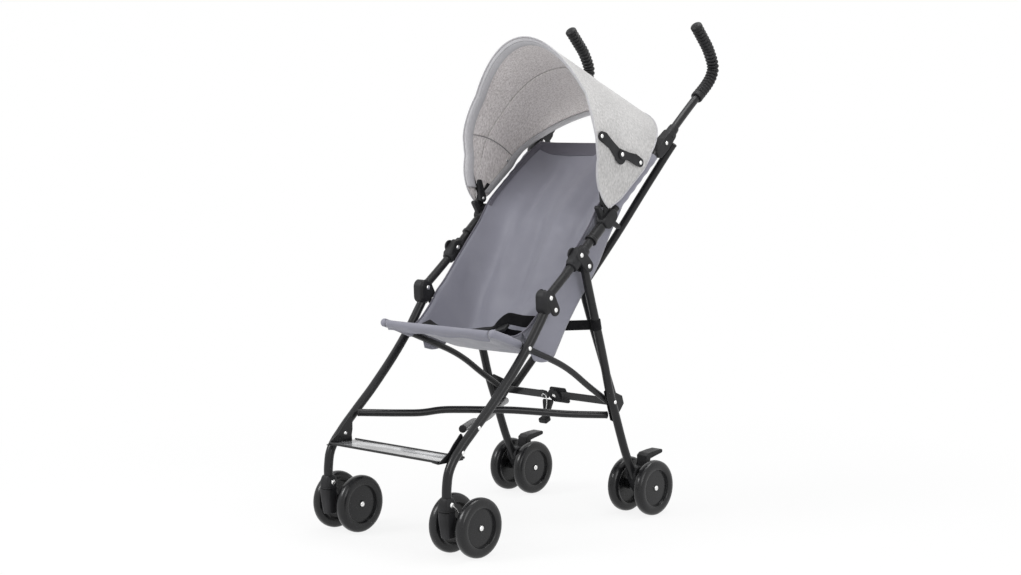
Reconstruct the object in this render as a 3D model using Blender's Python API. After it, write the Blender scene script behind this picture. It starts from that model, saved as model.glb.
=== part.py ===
# Compact umbrella stroller: tube frame on eight small wheels, sling seat, folding canopy.
# Front is -Y, up is +Z, the middle plane is X = 0. The floor is Z = 0.
import math

import bpy
import bmesh
from mathutils import Matrix, Vector

for old in list(bpy.data.objects):
    bpy.data.objects.remove(old, do_unlink=True)

# Overall placing: side profiles are measured from the rear axle, the row from its own centre.
REAR_AXLE_Y = 0.1856
CLEARANCE = 0.0003

# Wheels
WHEEL_RADIUS = 0.0625
WHEEL_WIDTH = 0.025
WHEEL_OFFSET = 0.0375
HUB_RADIUS = 0.0405
FRONT_AXLE = (-0.5684, WHEEL_RADIUS)
REAR_AXLE = (0.0, WHEEL_RADIUS)
SWIVEL = (-0.6232, 0.0985)

# Tube sizes
LEG_RADIUS = 0.010
UPPER_RADIUS = 0.0094
SLEEVE_RADIUS = 0.0125
REAR_LEG_RADIUS = 0.0095
BACK_RADIUS = 0.009
BAR_RADIUS = 0.008
RAIL_RADIUS = 0.007
BOW_RADIUS = 0.003

# Half widths: everything across the frame is set out from the upper side tubes
UPPER_X = 0.186
LEG_X_LOW = UPPER_X - 0.0070
LEG_X_TOP = UPPER_X - 0.0015
REAR_LEG_X_LOW = UPPER_X - 0.0025
RAIL_X = UPPER_X - 0.0235
HANDLE_TIP_X = UPPER_X + 0.0040
FRONT_PAIR_X = LEG_X_LOW - 0.0010
REAR_PAIR_X = REAR_LEG_X_LOW - 0.0005

# Joints in the side view
LOWER_KNUCKLE = (-0.3274, 0.5153)
UPPER_KNUCKLE = (-0.2035, 0.5760)
SEAT_PIVOT = (-0.3888, 0.4179)
BAR_PIVOT = (-0.5461, 0.2580)
BAR_PIVOT_X = UPPER_X - 0.0340
BAR_REAR = (-0.0950, 0.2325)
BAR_REAR_X = UPPER_X - 0.0360
BACK_PIVOT = (0.0970, 0.8260)
BACK_FOOT = (-0.0600, 0.2620)
BACK_FOOT_X = UPPER_X - 0.0320
ARM_PIVOT = (-0.0875, 0.2620)
ARM_PIVOT_X = UPPER_X - 0.0360
CANOPY_PIVOT = (-0.1350, 0.7100)
TOP_BLOCK = (0.0711, 0.8388)
BRAKE_PIVOT = (0.0100, 0.1080)

# Directions of the slanted hinge pins on the right side
BACK_PIN = Vector((-0.4492, -0.7506, 0.4845)).normalized()
BAR_PIN = Vector((0.5762, 0.3438, -0.7415)).normalized()

# Cloth
CLOTH = 0.0028
CANOPY_CLOTH = 0.0016
CANOPY_SIDE_GAP = 0.0140
CANOPY_HALF = UPPER_X + CANOPY_SIDE_GAP
CANOPY_SPLIT = 0.40

ROUND = 12


def place(side, x, profile):
    """A side-profile point (y, z) put at half width x on one side."""
    return Vector((side * x, profile[0] + REAR_AXLE_Y, profile[1]))


def path(side, rows):
    return [place(side, x, (y, z)) for x, y, z in rows]


def material(name, colour, rough, metal=0.0):
    made = bpy.data.materials.new(name)
    made.use_nodes = True
    shader = made.node_tree.nodes["Principled BSDF"]
    shader.inputs["Base Color"].default_value = (*colour, 1.0)
    shader.inputs["Roughness"].default_value = rough
    shader.inputs["Metallic"].default_value = metal
    return made


BLACK_TUBE = material("black_tube", (0.025, 0.026, 0.028), 0.35)
BLACK_PLASTIC = material("black_plastic", (0.03, 0.03, 0.033), 0.6)
WHEEL_BLACK = material("wheel_black", (0.028, 0.028, 0.03), 0.4)
GRIP_RUBBER = material("grip_rubber", (0.02, 0.02, 0.022), 0.8)
SEAT_CLOTH = material("seat_cloth", (0.42, 0.41, 0.46), 0.9)
CANOPY_GREY = material("canopy_cloth", (0.5, 0.5, 0.52), 0.9)
WEBBING = material("webbing", (0.02, 0.02, 0.022), 0.9)
SHEET_CLEAR = material("footrest_sheet", (0.6, 0.61, 0.62), 0.3)
STAY_BLACK = material("stay_black", (0.03, 0.03, 0.032), 0.45)

scene_collection = bpy.context.scene.collection


def make(name, verts, faces, mat, smooth=True):
    mesh = bpy.data.meshes.new(name)
    mesh.from_pydata([tuple(v) for v in verts], [], faces)
    shell = bmesh.new()
    shell.from_mesh(mesh)
    bmesh.ops.recalc_face_normals(shell, faces=shell.faces[:])
    for face in shell.faces:
        face.smooth = smooth
    shell.to_mesh(mesh)
    shell.free()
    made = bpy.data.objects.new(name, mesh)
    scene_collection.objects.link(made)
    mesh.materials.append(mat)
    return made


def combine(target, others, operation):
    """Fuse or cut closed solids and keep the exact result as the target's own mesh."""
    for other in others:
        step = target.modifiers.new("combine", "BOOLEAN")
        step.operation = operation
        step.solver = "EXACT"
        step.object = other
    bpy.context.view_layer.update()
    done = bpy.data.meshes.new_from_object(
        target.evaluated_get(bpy.context.evaluated_depsgraph_get()))
    target.modifiers.clear()
    target.data = done
    for other in others:
        bpy.data.objects.remove(other, do_unlink=True)
    return target


def fuse(target, *others):
    return combine(target, others, "UNION")


def carve(target, *others):
    return combine(target, others, "DIFFERENCE")


def hinge_at(part, point):
    """Put the part's origin on its joint without moving its shape."""
    part.data.transform(Matrix.Translation(-point))
    part.location = point
    return part


def soften(points, steps=4):
    """A smooth curve through the given points."""
    full = [points[0] * 2 - points[1]] + list(points) + [points[-1] * 2 - points[-2]]
    curve = []
    for i in range(1, len(full) - 2):
        a, b, c, d = full[i - 1:i + 3]
        for s in range(steps):
            t = s / steps
            curve.append(0.5 * ((2 * b) + (c - a) * t + (2 * a - 5 * b + 4 * c - d) * t * t
                                + (3 * b - a - 3 * c + d) * t ** 3))
    curve.append(points[-1].copy())
    return curve


def rings_to_faces(rings, count, closed=False):
    faces = []
    last = len(rings) if closed else len(rings) - 1
    for i in range(last):
        a, b = i * count, ((i + 1) % len(rings)) * count
        for j in range(count):
            k = (j + 1) % count
            faces.append((a + j, a + k, b + k, b + j))
    if not closed:
        faces.append(tuple(range(count)))
        faces.append(tuple((len(rings) - 1) * count + j for j in range(count)))
    return faces


def sweep(name, points, radii, mat, sides=ROUND):
    """A round tube along points; radii is one value or one for each point."""
    if not isinstance(radii, (list, tuple)):
        radii = [radii] * len(points)
    rings, across = [], None
    for i, point in enumerate(points):
        along = (points[min(i + 1, len(points) - 1)] - points[max(i - 1, 0)]).normalized()
        if across is None:
            across = along.cross(Vector((1, 0, 0)))
            if across.length < 0.1:
                across = along.cross(Vector((0, 0, 1)))
        across = (across - along * across.dot(along)).normalized()
        other = along.cross(across)
        rings.append([point + (across * math.cos(math.tau * j / sides)
                               + other * math.sin(math.tau * j / sides)) * radii[i]
                      for j in range(sides)])
    return make(name, [v for ring in rings for v in ring],
                rings_to_faces(rings, sides), mat)


def rod(name, start, end, radius, mat, sides=ROUND):
    return sweep(name, [start, end], radius, mat, sides)


def slab(name, outline, thickness, mat, bevel=0.0):
    """A flat piece: outline is a ring of 3-D points, thickness a vector."""
    count = len(outline)
    verts = list(outline) + [p + thickness for p in outline]
    faces = [tuple(range(count)), tuple(range(count, 2 * count))]
    faces += [(j, (j + 1) % count, count + (j + 1) % count, count + j) for j in range(count)]
    made = make(name, verts, faces, mat, smooth=False)
    if bevel:
        shell = bmesh.new()
        shell.from_mesh(made.data)
        flat = [e for e in shell.edges if any(len(f.verts) == count for f in e.link_faces)]
        bmesh.ops.bevel(shell, geom=flat, offset=bevel, segments=1, affect="EDGES",
                        profile=0.5, clamp_overlap=True)
        shell.to_mesh(made.data)
        shell.free()
    return made


def hull_outline(discs, steps=20):
    """Convex outline in the side view round discs given as (y, z, radius)."""
    spots = []
    for y, z, radius in discs:
        for j in range(steps):
            turn = math.tau * (j + 0.5) / steps
            spots.append((y + radius * math.cos(turn), z + radius * math.sin(turn)))
    spots = sorted(set(spots))

    def half(order):
        edge = []
        for p in order:
            while len(edge) > 1 and ((edge[-1][0] - edge[-2][0]) * (p[1] - edge[-2][1])
                                     - (edge[-1][1] - edge[-2][1]) * (p[0] - edge[-2][0])) <= 1e-9:
                edge.pop()
            edge.append(p)
        return edge[:-1]

    return half(spots) + half(spots[::-1])


def cheek(name, side, discs, x_in, x_out, mat, bevel=0.0, steps=20):
    """A plate across the side view from half width x_in to x_out."""
    ring = [place(side, x_in, spot) for spot in hull_outline(discs, steps)]
    return slab(name, ring, Vector((side * (x_out - x_in), 0, 0)), mat, bevel)


def lathe_x(name, centre, profile, mat, segments=32):
    """Turn (offset along X, radius) pairs about an axis along X."""
    rings = []
    for offset, radius in profile:
        rings.append([centre + Vector((offset, radius * math.cos(math.tau * j / segments),
                                       radius * math.sin(math.tau * j / segments)))
                      for j in range(segments)])
    return make(name, [v for ring in rings for v in ring],
                rings_to_faces(rings, segments), mat)


def rivet(side, x_from, x_to, spot, radius=0.0042):
    return rod("rivet", place(side, x_from, spot), place(side, x_to, spot), radius, BLACK_TUBE, 10)


def names(side):
    return "right" if side > 0 else "left"


# Front end
FRONT_LEG_ROWS = [
    (LEG_X_LOW, SWIVEL[0], 0.1080), (LEG_X_LOW, -0.6234, 0.1500), (LEG_X_LOW, -0.6153, 0.1846),
    (LEG_X_LOW, -0.5845, 0.2216), (LEG_X_LOW + 0.0010, -0.5461, 0.2562),
    (LEG_X_LOW + 0.0022, -0.4812, 0.3129), (LEG_X_LOW + 0.0040, -0.3884, 0.4088),
    (LEG_X_TOP, -0.3425, 0.4687), (LEG_X_TOP, -0.3310, 0.4850)]
SOCKET_TOP = 0.1270
SOCKET_RADIUS = 0.0160


def front_leg(side):
    """Bent tube from the caster socket to the lower knuckle, with the pins it carries."""
    tag = names(side)
    leg = sweep("front_leg_" + tag, soften(path(side, FRONT_LEG_ROWS), 2), LEG_RADIUS, BLACK_TUBE)
    boss = rod("boss", place(side, RAIL_X + RAIL_RADIUS + CLEARANCE, SEAT_PIVOT),
               place(side, UPPER_X, SEAT_PIVOT), 0.0080, BLACK_TUBE, 12)
    pin = Vector((side * BAR_PIN.x, BAR_PIN.y, BAR_PIN.z))
    spot = place(side, BAR_PIVOT_X, BAR_PIVOT)
    lift = spot - pin * (BAR_RADIUS + CLEARANCE)
    seat_disc = rod("disc", lift, lift - pin * 0.0085, 0.0080, BLACK_TUBE, 12)
    stalk = rod("stalk", lift - pin * 0.0062, place(side, LEG_X_LOW + 0.0015, (-0.5140, 0.2850)), 0.0034,
                BLACK_TUBE, 10)
    return fuse(leg, boss, seat_disc, stalk)


def front_leg_cutter(side, grow=CLEARANCE):
    return sweep("cut", soften(path(side, FRONT_LEG_ROWS), 2), LEG_RADIUS + grow, BLACK_TUBE)


def caster_socket(side):
    """Upper half of the swivel, pushed on the end of the leg."""
    tag = names(side)
    body = cheek("caster_socket_" + tag, side,
                 [(SWIVEL[0], 0.1100, SOCKET_RADIUS), (SWIVEL[0], SOCKET_TOP - 0.0130, 0.0145)],
                 LEG_X_LOW - 0.0145, LEG_X_LOW + 0.0145, BLACK_PLASTIC, 0.002)
    base = slab("base", [place(side, x, (y, SWIVEL[1] + CLEARANCE)) for x, y in
                         ((LEG_X_LOW - 0.0145, SWIVEL[0] - 0.0155),
                          (LEG_X_LOW + 0.0145, SWIVEL[0] - 0.0155),
                          (LEG_X_LOW + 0.0145, SWIVEL[0] + 0.0155),
                          (LEG_X_LOW - 0.0145, SWIVEL[0] + 0.0155))],
                Vector((0, 0, 0.012)), BLACK_PLASTIC)
    body = fuse(body, base)
    below = slab("below", [place(side, x, (y, SWIVEL[1] + CLEARANCE)) for x, y in
                           ((0.10, -0.70), (0.26, -0.70), (0.26, -0.50), (0.10, -0.50))],
                 Vector((0, 0, -0.05)), BLACK_PLASTIC)
    body = carve(body, below)
    body = carve(body, front_leg_cutter(side))
    return fuse(body, rivet(side, LEG_X_LOW + 0.0125, LEG_X_LOW + 0.0160, (SWIVEL[0], 0.1144)))


def caster_fork(side):
    """Lower half of the swivel; it trails back to the twin wheels' axle."""
    tag = names(side)
    body = cheek("caster_fork_" + tag, side,
                 [(SWIVEL[0], 0.0880, 0.0150), (SWIVEL[0] + 0.006, 0.0540, 0.0125),
                  (FRONT_AXLE[0], FRONT_AXLE[1], 0.0125)],
                 FRONT_PAIR_X - 0.0140, FRONT_PAIR_X + 0.0140, BLACK_PLASTIC, 0.0018)
    above = slab("above", [place(side, x, (y, SWIVEL[1])) for x, y in
                           ((0.10, -0.70), (0.26, -0.70), (0.26, -0.50), (0.10, -0.50))],
                 Vector((0, 0, 0.05)), BLACK_PLASTIC)
    body = carve(body, above)
    axle = rod("axle", place(side, FRONT_PAIR_X - WHEEL_OFFSET + WHEEL_WIDTH / 2 + CLEARANCE,
                             FRONT_AXLE),
               place(side, FRONT_PAIR_X + WHEEL_OFFSET - WHEEL_WIDTH / 2 - CLEARANCE, FRONT_AXLE),
               0.0060, BLACK_PLASTIC, 12)
    return hinge_at(fuse(body, axle), place(side, LEG_X_LOW, SWIVEL))


def wheel(name, side, pair_x, offset, axle):
    """Moulded wheel: a round tyre ring, a sunk disc and a small axle cap."""
    half = WHEEL_WIDTH / 2
    out = 1 if offset > 0 else -1
    rim = [(-half, 0.0075), (-half, HUB_RADIUS + 0.0045)]
    for j in range(1, 6):
        turn = math.pi * j / 6
        rim.append((-half * math.cos(turn), WHEEL_RADIUS - 0.0100 + 0.0100 * math.sin(turn)))
    rim += [(half, HUB_RADIUS + 0.0045), (half - 0.0050, HUB_RADIUS),
            (half - 0.0042, 0.0052), (half - 0.0020, 0.0045)]
    profile = [(side * out * x, r) for x, r in rim]
    centre = place(side, pair_x + offset, axle)
    return hinge_at(lathe_x(name, centre, profile, WHEEL_BLACK, 24), centre)


def lower_knuckle(side):
    """Moulding that holds the front leg and hinges the upper tube."""
    tag = names(side)
    body = cheek("lower_knuckle_" + tag, side,
                 [(LOWER_KNUCKLE[0], LOWER_KNUCKLE[1], 0.0175), (-0.3119, 0.4885, 0.0140),
                  (-0.3400, 0.4735, 0.0140), (-0.3050, 0.5100, 0.0120)],
                 LEG_X_TOP - 0.0150, LEG_X_TOP + 0.0150, BLACK_PLASTIC, 0.003)
    slot = cheek("slot", side,
                 [(LOWER_KNUCKLE[0], LOWER_KNUCKLE[1], 0.0152), (-0.2700, 0.5200, 0.0250),
                  (-0.3550, 0.6200, 0.0200), (-0.3000, 0.6000, 0.0200)],
                 LEG_X_TOP - 0.0108, UPPER_X + UPPER_RADIUS + CLEARANCE, BLACK_PLASTIC)
    body = carve(body, slot)
    body = carve(body, front_leg_cutter(side))
    outer = LEG_X_TOP + 0.0150
    return fuse(body, rivet(side, outer - 0.002, outer + 0.0012, LOWER_KNUCKLE),
                rivet(side, outer - 0.002, outer + 0.0012, (-0.3119, 0.4885)))


def footrest_bracket(side):
    """Gusset on the inside of the leg with a flange that carries the footrest."""
    tag = names(side)
    corners = [(-0.6380, 0.1960), (-0.5420, 0.1960), (-0.5485, 0.2150), (-0.5520, 0.2400),
               (-0.5620, 0.2620), (-0.5780, 0.2480), (-0.6050, 0.2180)]
    inner = LEG_X_LOW - LEG_RADIUS - CLEARANCE
    plate = slab("footrest_bracket_" + tag, [place(side, inner, c) for c in corners],
                 Vector((-side * 0.0025, 0, 0)), BLACK_PLASTIC)
    flange = slab("flange", [place(side, x, (y, 0.1960)) for x, y in
                             ((inner, -0.6380), (inner, -0.5420),
                              (inner - 0.024, -0.5480), (inner - 0.024, -0.6320))],
                  Vector((0, 0, 0.0022)), BLACK_PLASTIC)
    return fuse(plate, flange)


def footrest():
    """Clear sheet with two thin edge rods, resting on the bracket flanges."""
    half = LEG_X_LOW - LEG_RADIUS - 0.0025 - 2 * CLEARANCE - 0.0003
    height = 0.1960 + 0.0022 + CLEARANCE + 0.0022
    sheet = slab("footrest", [Vector((x, y + REAR_AXLE_Y, height - 0.0006)) for x, y in
                              ((-half, -0.6320), (half, -0.6320), (half, -0.5430),
                               (-half, -0.5430))], Vector((0, 0, 0.0012)), SHEET_CLEAR)
    edges = [rod("edge", Vector((-half, y + REAR_AXLE_Y, height)),
                 Vector((half, y + REAR_AXLE_Y, height)), 0.0022, SHEET_CLEAR, 8)
             for y in (-0.6320, -0.5430)]
    return fuse(sheet, *edges)


# Side frame
UPPER_ROWS = [(UPPER_X, LOWER_KNUCKLE[0] - 0.0066, LOWER_KNUCKLE[1] - 0.0075),
              (UPPER_X, -0.2619, 0.5632), (UPPER_X, -0.2063, 0.6092),
              (UPPER_X, -0.1672, 0.6420), (UPPER_X, -0.0782, 0.7146),
              (UPPER_X, TOP_BLOCK[0] - 0.0030, TOP_BLOCK[1] - 0.0027)]
SLEEVE_ROWS = [(UPPER_X, -0.1830, 0.6285), (UPPER_X, -0.1790, 0.6319),
               (UPPER_X, -0.1786, 0.6323), (UPPER_X, -0.1480, 0.6577)]


def upper_tube(side):
    """Straight side tube from the lower knuckle to the top block, with its short sleeve."""
    tag = names(side)
    tube = sweep("upper_tube_" + tag, path(side, UPPER_ROWS), UPPER_RADIUS, BLACK_TUBE)
    sleeve = sweep("sleeve", path(side, SLEEVE_ROWS),
                   [SLEEVE_RADIUS + 0.0015, SLEEVE_RADIUS + 0.0015, SLEEVE_RADIUS,
                    SLEEVE_RADIUS], BLACK_TUBE)
    return hinge_at(fuse(tube, sleeve), place(side, UPPER_X, LOWER_KNUCKLE))


def upper_tube_cutter(side):
    return sweep("cut", path(side, UPPER_ROWS), UPPER_RADIUS + CLEARANCE, BLACK_TUBE)


REAR_LEG_ROWS = [
    (UPPER_X, UPPER_KNUCKLE[0] - 0.0030, UPPER_KNUCKLE[1] + 0.0070),
    (UPPER_X, -0.1981, 0.5554), (UPPER_X - 0.0002, -0.1783, 0.4994),
    (UPPER_X - 0.0008, -0.1592, 0.4318), (UPPER_X - 0.0014, -0.1399, 0.3412),
    (UPPER_X - 0.0020, -0.1170, 0.2830), (REAR_LEG_X_LOW, -0.0922, 0.2352),
    (REAR_LEG_X_LOW, -0.0678, 0.1756), (REAR_LEG_X_LOW, -0.0526, 0.1394),
    (REAR_LEG_X_LOW, -0.0260, 0.0860)]


def rear_leg(side):
    tag = names(side)
    leg = sweep("rear_leg_" + tag, soften(path(side, REAR_LEG_ROWS), 2), REAR_LEG_RADIUS,
                BLACK_TUBE)
    return hinge_at(leg, place(side, UPPER_X, UPPER_KNUCKLE))


def rear_leg_cutter(side):
    return sweep("cut", soften(path(side, REAR_LEG_ROWS), 2), REAR_LEG_RADIUS + CLEARANCE,
                 BLACK_TUBE)


def upper_knuckle(side):
    """Moulding on the upper tube with the rear leg's hinge below it."""
    tag = names(side)
    body = cheek("upper_knuckle_" + tag, side,
                 [(-0.2248, 0.6026, 0.0165), (UPPER_KNUCKLE[0], UPPER_KNUCKLE[1], 0.0170),
                  (-0.2330, 0.5830, 0.0120), (-0.1990, 0.6060, 0.0115)],
                 UPPER_X - 0.0150, UPPER_X + 0.0150, BLACK_PLASTIC, 0.003)
    slot = cheek("slot", side,
                 [(UPPER_KNUCKLE[0], UPPER_KNUCKLE[1], 0.0128), (-0.1700, 0.5300, 0.0200),
                  (-0.2500, 0.5300, 0.0150), (-0.2200, 0.5200, 0.0200)],
                 UPPER_X - 0.0105, UPPER_X + 0.0105, BLACK_PLASTIC)
    body = carve(body, slot)
    tube = sweep("cut", path(side, UPPER_ROWS[1:4]), UPPER_RADIUS + CLEARANCE, BLACK_TUBE)
    body = carve(body, tube)
    outer = UPPER_X + 0.0150
    return fuse(body, rivet(side, outer - 0.002, outer + 0.0012, (-0.2300, 0.5920)),
                rivet(side, outer - 0.002, outer + 0.0012, UPPER_KNUCKLE))


def rear_bracket(side):
    """Stamped side plate behind the rear leg with the tab that hinges the lock arm."""
    tag = names(side)
    inner = REAR_LEG_X_LOW - REAR_LEG_RADIUS - CLEARANCE
    corners = [(-0.1190, 0.2900), (-0.1080, 0.2960), (-0.0560, 0.2740), (-0.0500, 0.2560),
               (-0.0600, 0.2440), (-0.0850, 0.2180), (-0.0960, 0.2230)]
    plate = slab("rear_bracket_" + tag, [place(side, inner, c) for c in corners],
                 Vector((-side * 0.0018, 0, 0)), BLACK_TUBE)
    tilt = Vector((0, 0.888, 0.460))
    rise = Vector((0, -0.460, 0.888))
    spot = place(side, ARM_PIVOT_X, ARM_PIVOT) + tilt * (ARM_THICK + 2 * CLEARANCE)
    over = Vector((side, 0, 0))
    ring = [spot - over * 0.007 - rise * 0.007, spot + over * (inner - ARM_PIVOT_X - 0.001) - rise * 0.007,
            spot + over * (inner - ARM_PIVOT_X - 0.001) + rise * 0.007, spot - over * 0.007 + rise * 0.007]
    tab = slab("tab", ring, tilt * 0.0022, BLACK_TUBE)
    return fuse(plate, tab)


def rear_hub(side):
    """Brake housing between the twin rear wheels."""
    tag = names(side)
    body = cheek("rear_hub_" + tag, side,
                 [(REAR_AXLE[0], REAR_AXLE[1], 0.0170), (BRAKE_PIVOT[0], BRAKE_PIVOT[1] - 0.004, 0.0140),
                  (-0.0220, 0.0960, 0.0150)],
                 REAR_PAIR_X - 0.0150, REAR_PAIR_X + 0.0150, BLACK_PLASTIC, 0.002)
    cradle = cheek("cradle", side, [(BRAKE_PIVOT[0], BRAKE_PIVOT[1], 0.0105),
                                    (BRAKE_PIVOT[0] + 0.012, BRAKE_PIVOT[1] + 0.014, 0.0120),
                                    (BRAKE_PIVOT[0] - 0.003, BRAKE_PIVOT[1] + 0.020, 0.0120)],
                   REAR_PAIR_X - 0.03, REAR_PAIR_X + 0.03, BLACK_PLASTIC)
    body = carve(body, cradle)
    body = carve(body, rear_leg_cutter(side))
    axle = rod("axle", place(side, REAR_PAIR_X - WHEEL_OFFSET + WHEEL_WIDTH / 2 + CLEARANCE,
                             REAR_AXLE),
               place(side, REAR_PAIR_X + WHEEL_OFFSET - WHEEL_WIDTH / 2 - CLEARANCE, REAR_AXLE),
               0.0060, BLACK_PLASTIC, 12)
    return fuse(body, axle)


def brake_pedal(side):
    """Bent foot lever on top of the housing."""
    tag = names(side)
    ring = [(BRAKE_PIVOT[0] + 0.0100 * math.cos(math.radians(a)),
             BRAKE_PIVOT[1] + 0.0100 * math.sin(math.radians(a)))
            for a in range(160, 381, 20)]
    ring += [(0.0215, 0.1230), (0.0330, 0.1262), (0.0600, 0.1318), (0.0622, 0.1392),
             (0.0400, 0.1398), (0.0120, 0.1370), (0.0035, 0.1310)]
    pedal = slab("brake_pedal_" + tag, [place(side, REAR_PAIR_X - 0.0140, p) for p in ring],
                 Vector((side * 0.0280, 0, 0)), BLACK_PLASTIC)
    return hinge_at(pedal, place(side, REAR_PAIR_X, BRAKE_PIVOT))


# Cross members
def back_tube(side):
    """Slanted tube from the top block to the foot of the other side; the pair crosses."""
    tag = names(side)
    top = place(side, UPPER_X, BACK_PIVOT)
    foot = place(-side, BACK_FOOT_X, BACK_FOOT)
    along = (foot - top).normalized()
    # the right tube passes behind the left one where they cross
    step = Vector((0, side * 0.962, -side * 0.272)) * (BACK_RADIUS + 0.0008)
    rows = []
    for t in (0.0, 0.15, 0.35, 0.45, 0.54, 0.65, 0.85, 1.0):
        bow = min(1.0, max(0.0, 1.0 - abs(t - 0.53) / 0.48) * 1.5)
        rows.append(top.lerp(foot, t) + step * bow)
    rows = [top - along * 0.012] + rows + [foot + along * 0.012]
    return hinge_at(sweep("back_tube_" + tag, rows, BACK_RADIUS, BLACK_TUBE), top)


def lower_bar(side):
    """Bar from one front leg back to the other side's rear leg, stepped where the pair cross."""
    tag = names(side)
    front = place(side, BAR_PIVOT_X, BAR_PIVOT)
    rear = place(-side, BAR_REAR_X, BAR_REAR)
    along = (rear - front).normalized()
    lift = Vector((0, 0, -side * (BAR_RADIUS + 0.0009)))
    rows = [front - along * 0.011]
    for t, part in ((0.0, 0.0), (0.16, 0.0), (0.24, 0.15), (0.32, 0.85), (0.40, 1.0), (0.50, 1.0),
                    (0.60, 1.0), (0.70, 0.7), (0.84, 0.15), (1.0, 0.0)):
        rows.append(front.lerp(rear, t) + lift * part)
    rows.append(rear + along * 0.010)
    return hinge_at(sweep("lower_bar_" + tag, rows, BAR_RADIUS, BLACK_TUBE), front)


ARM_THICK = 0.0036


def lock_arm(side):
    """Flat folding arm; its rounded end is one half of the middle knuckle."""
    tag = names(side)
    tilt = Vector((0, 0.888, 0.460))
    rise = Vector((0, -0.460, 0.888))
    spot = place(side, ARM_PIVOT_X, ARM_PIVOT) + tilt * (CLEARANCE if side > 0 else -CLEARANCE)
    inward = Vector((-side, 0, 0))
    shape = [(-0.0085, 0.0), (-0.006, 0.006), (0.0, 0.0085),
             (ARM_PIVOT_X - 0.040, 0.0085), (ARM_PIVOT_X - 0.026, 0.0130)]
    for j in range(13):
        turn = math.radians(120 - 20 * j)
        shape.append((ARM_PIVOT_X + 0.0215 * math.cos(turn), 0.0 + 0.0195 * math.sin(turn)))
    shape += [(ARM_PIVOT_X - 0.026, -0.0130), (ARM_PIVOT_X - 0.040, -0.0085), (0.0, -0.0085),
              (-0.006, -0.006)]
    ring = [spot + inward * a + rise * b for a, b in shape]
    thick = tilt * (ARM_THICK if side > 0 else -ARM_THICK)
    arm = slab("lock_arm_" + tag, ring, thick, BLACK_PLASTIC, 0.0006)
    return hinge_at(arm, place(side, ARM_PIVOT_X, ARM_PIVOT))


PEDAL_PIVOT = (-0.0882, 0.2450)


def release_pedal():
    """Small foot pedal hung in front of the left arm's knuckle half; it unlocks the fold."""
    ring = [(PEDAL_PIVOT[0] + 0.0045 * math.cos(math.radians(a)),
             PEDAL_PIVOT[1] + 0.0045 * math.sin(math.radians(a))) for a in range(-60, 211, 30)]
    ring += [(-0.0960, 0.2110), (-0.1090, 0.2030), (-0.1095, 0.1975), (-0.0890, 0.2010)]
    pedal = slab("release_pedal", [place(1, -0.0330, p) for p in ring],
                 Vector((0.0260, 0, 0)), BLACK_PLASTIC)
    return hinge_at(pedal, place(1, -0.0200, PEDAL_PIVOT))


RAIL_ROWS = [(-0.4730, 0.4505), (-0.4350, 0.4360), (SEAT_PIVOT[0], SEAT_PIVOT[1]),
             (-0.3145, 0.3884), (-0.2600, 0.3660), (-0.2200, 0.3450), (-0.1600, 0.3055),
             (-0.1000, 0.2680)]


def seat_rail(side):
    tag = names(side)
    rail = sweep("seat_rail_" + tag, soften(path(side, [(RAIL_X, y, z) for y, z in RAIL_ROWS]), 2),
                 RAIL_RADIUS, BLACK_TUBE, 12)
    return hinge_at(rail, place(side, RAIL_X, SEAT_PIVOT))


# Top end
HANDLE_ROWS = [(UPPER_X, TOP_BLOCK[0] + 0.0030, TOP_BLOCK[1] + 0.0025), (UPPER_X, 0.1058, 0.8690),
               (UPPER_X + 0.0005, 0.1428, 0.9010), (UPPER_X + 0.0010, 0.1915, 0.9410),
               (UPPER_X + 0.0012, 0.2080, 0.9540)]
GRIP_ROWS = [(UPPER_X + 0.0010, 0.1915, 0.9410), (UPPER_X + 0.0015, 0.2295, 0.9713),
             (UPPER_X + 0.0020, 0.2485, 0.9946), (UPPER_X + 0.0025, 0.2520, 1.0178),
             (UPPER_X + 0.0030, 0.2341, 1.0520), (UPPER_X + 0.0035, 0.2145, 1.0745),
             (HANDLE_TIP_X, 0.1816, 1.1088)]
GRIP_RADIUS = 0.0150
GRIP_RIBS = 22


def handle(side):
    tag = names(side)
    return sweep("handle_" + tag, path(side, HANDLE_ROWS), UPPER_RADIUS, BLACK_TUBE)


def grip(side):
    """Ribbed rubber grip bent back and up in a J."""
    tag = names(side)
    line = soften(path(side, GRIP_ROWS), 12)
    length = [0.0]
    for a, b in zip(line, line[1:]):
        length.append(length[-1] + (b - a).length)

    def spot(reach):
        for i in range(1, len(line)):
            if reach <= length[i]:
                return line[i - 1].lerp(line[i], (reach - length[i - 1]) / (length[i] - length[i - 1]))
        return line[-1]

    total = length[-1]
    points, radii = [spot(0), spot(0.0015), spot(0.012), spot(0.0135)], \
        [GRIP_RADIUS - 0.0015, GRIP_RADIUS + 0.0008, GRIP_RADIUS + 0.0008, GRIP_RADIUS - 0.0010]
    start, stop = 0.016, total - 0.012
    for j in range(GRIP_RIBS):
        reach = start + (stop - start) * j / (GRIP_RIBS - 1)
        pitch = (stop - start) / (GRIP_RIBS - 1)
        points += [spot(reach), spot(reach + pitch / 2)]
        radii += [GRIP_RADIUS, GRIP_RADIUS - 0.0013]
    points += [spot(total - 0.0045), spot(total)]
    radii += [GRIP_RADIUS, GRIP_RADIUS - 0.0050]
    body = sweep("grip_" + tag, points, radii, GRIP_RUBBER, 10)
    bore = sweep("bore", path(side, [(UPPER_X + 0.0006, 0.1600, 0.9155)] + HANDLE_ROWS[3:5]
                              ), UPPER_RADIUS + CLEARANCE, GRIP_RUBBER)
    return carve(body, bore)


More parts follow.
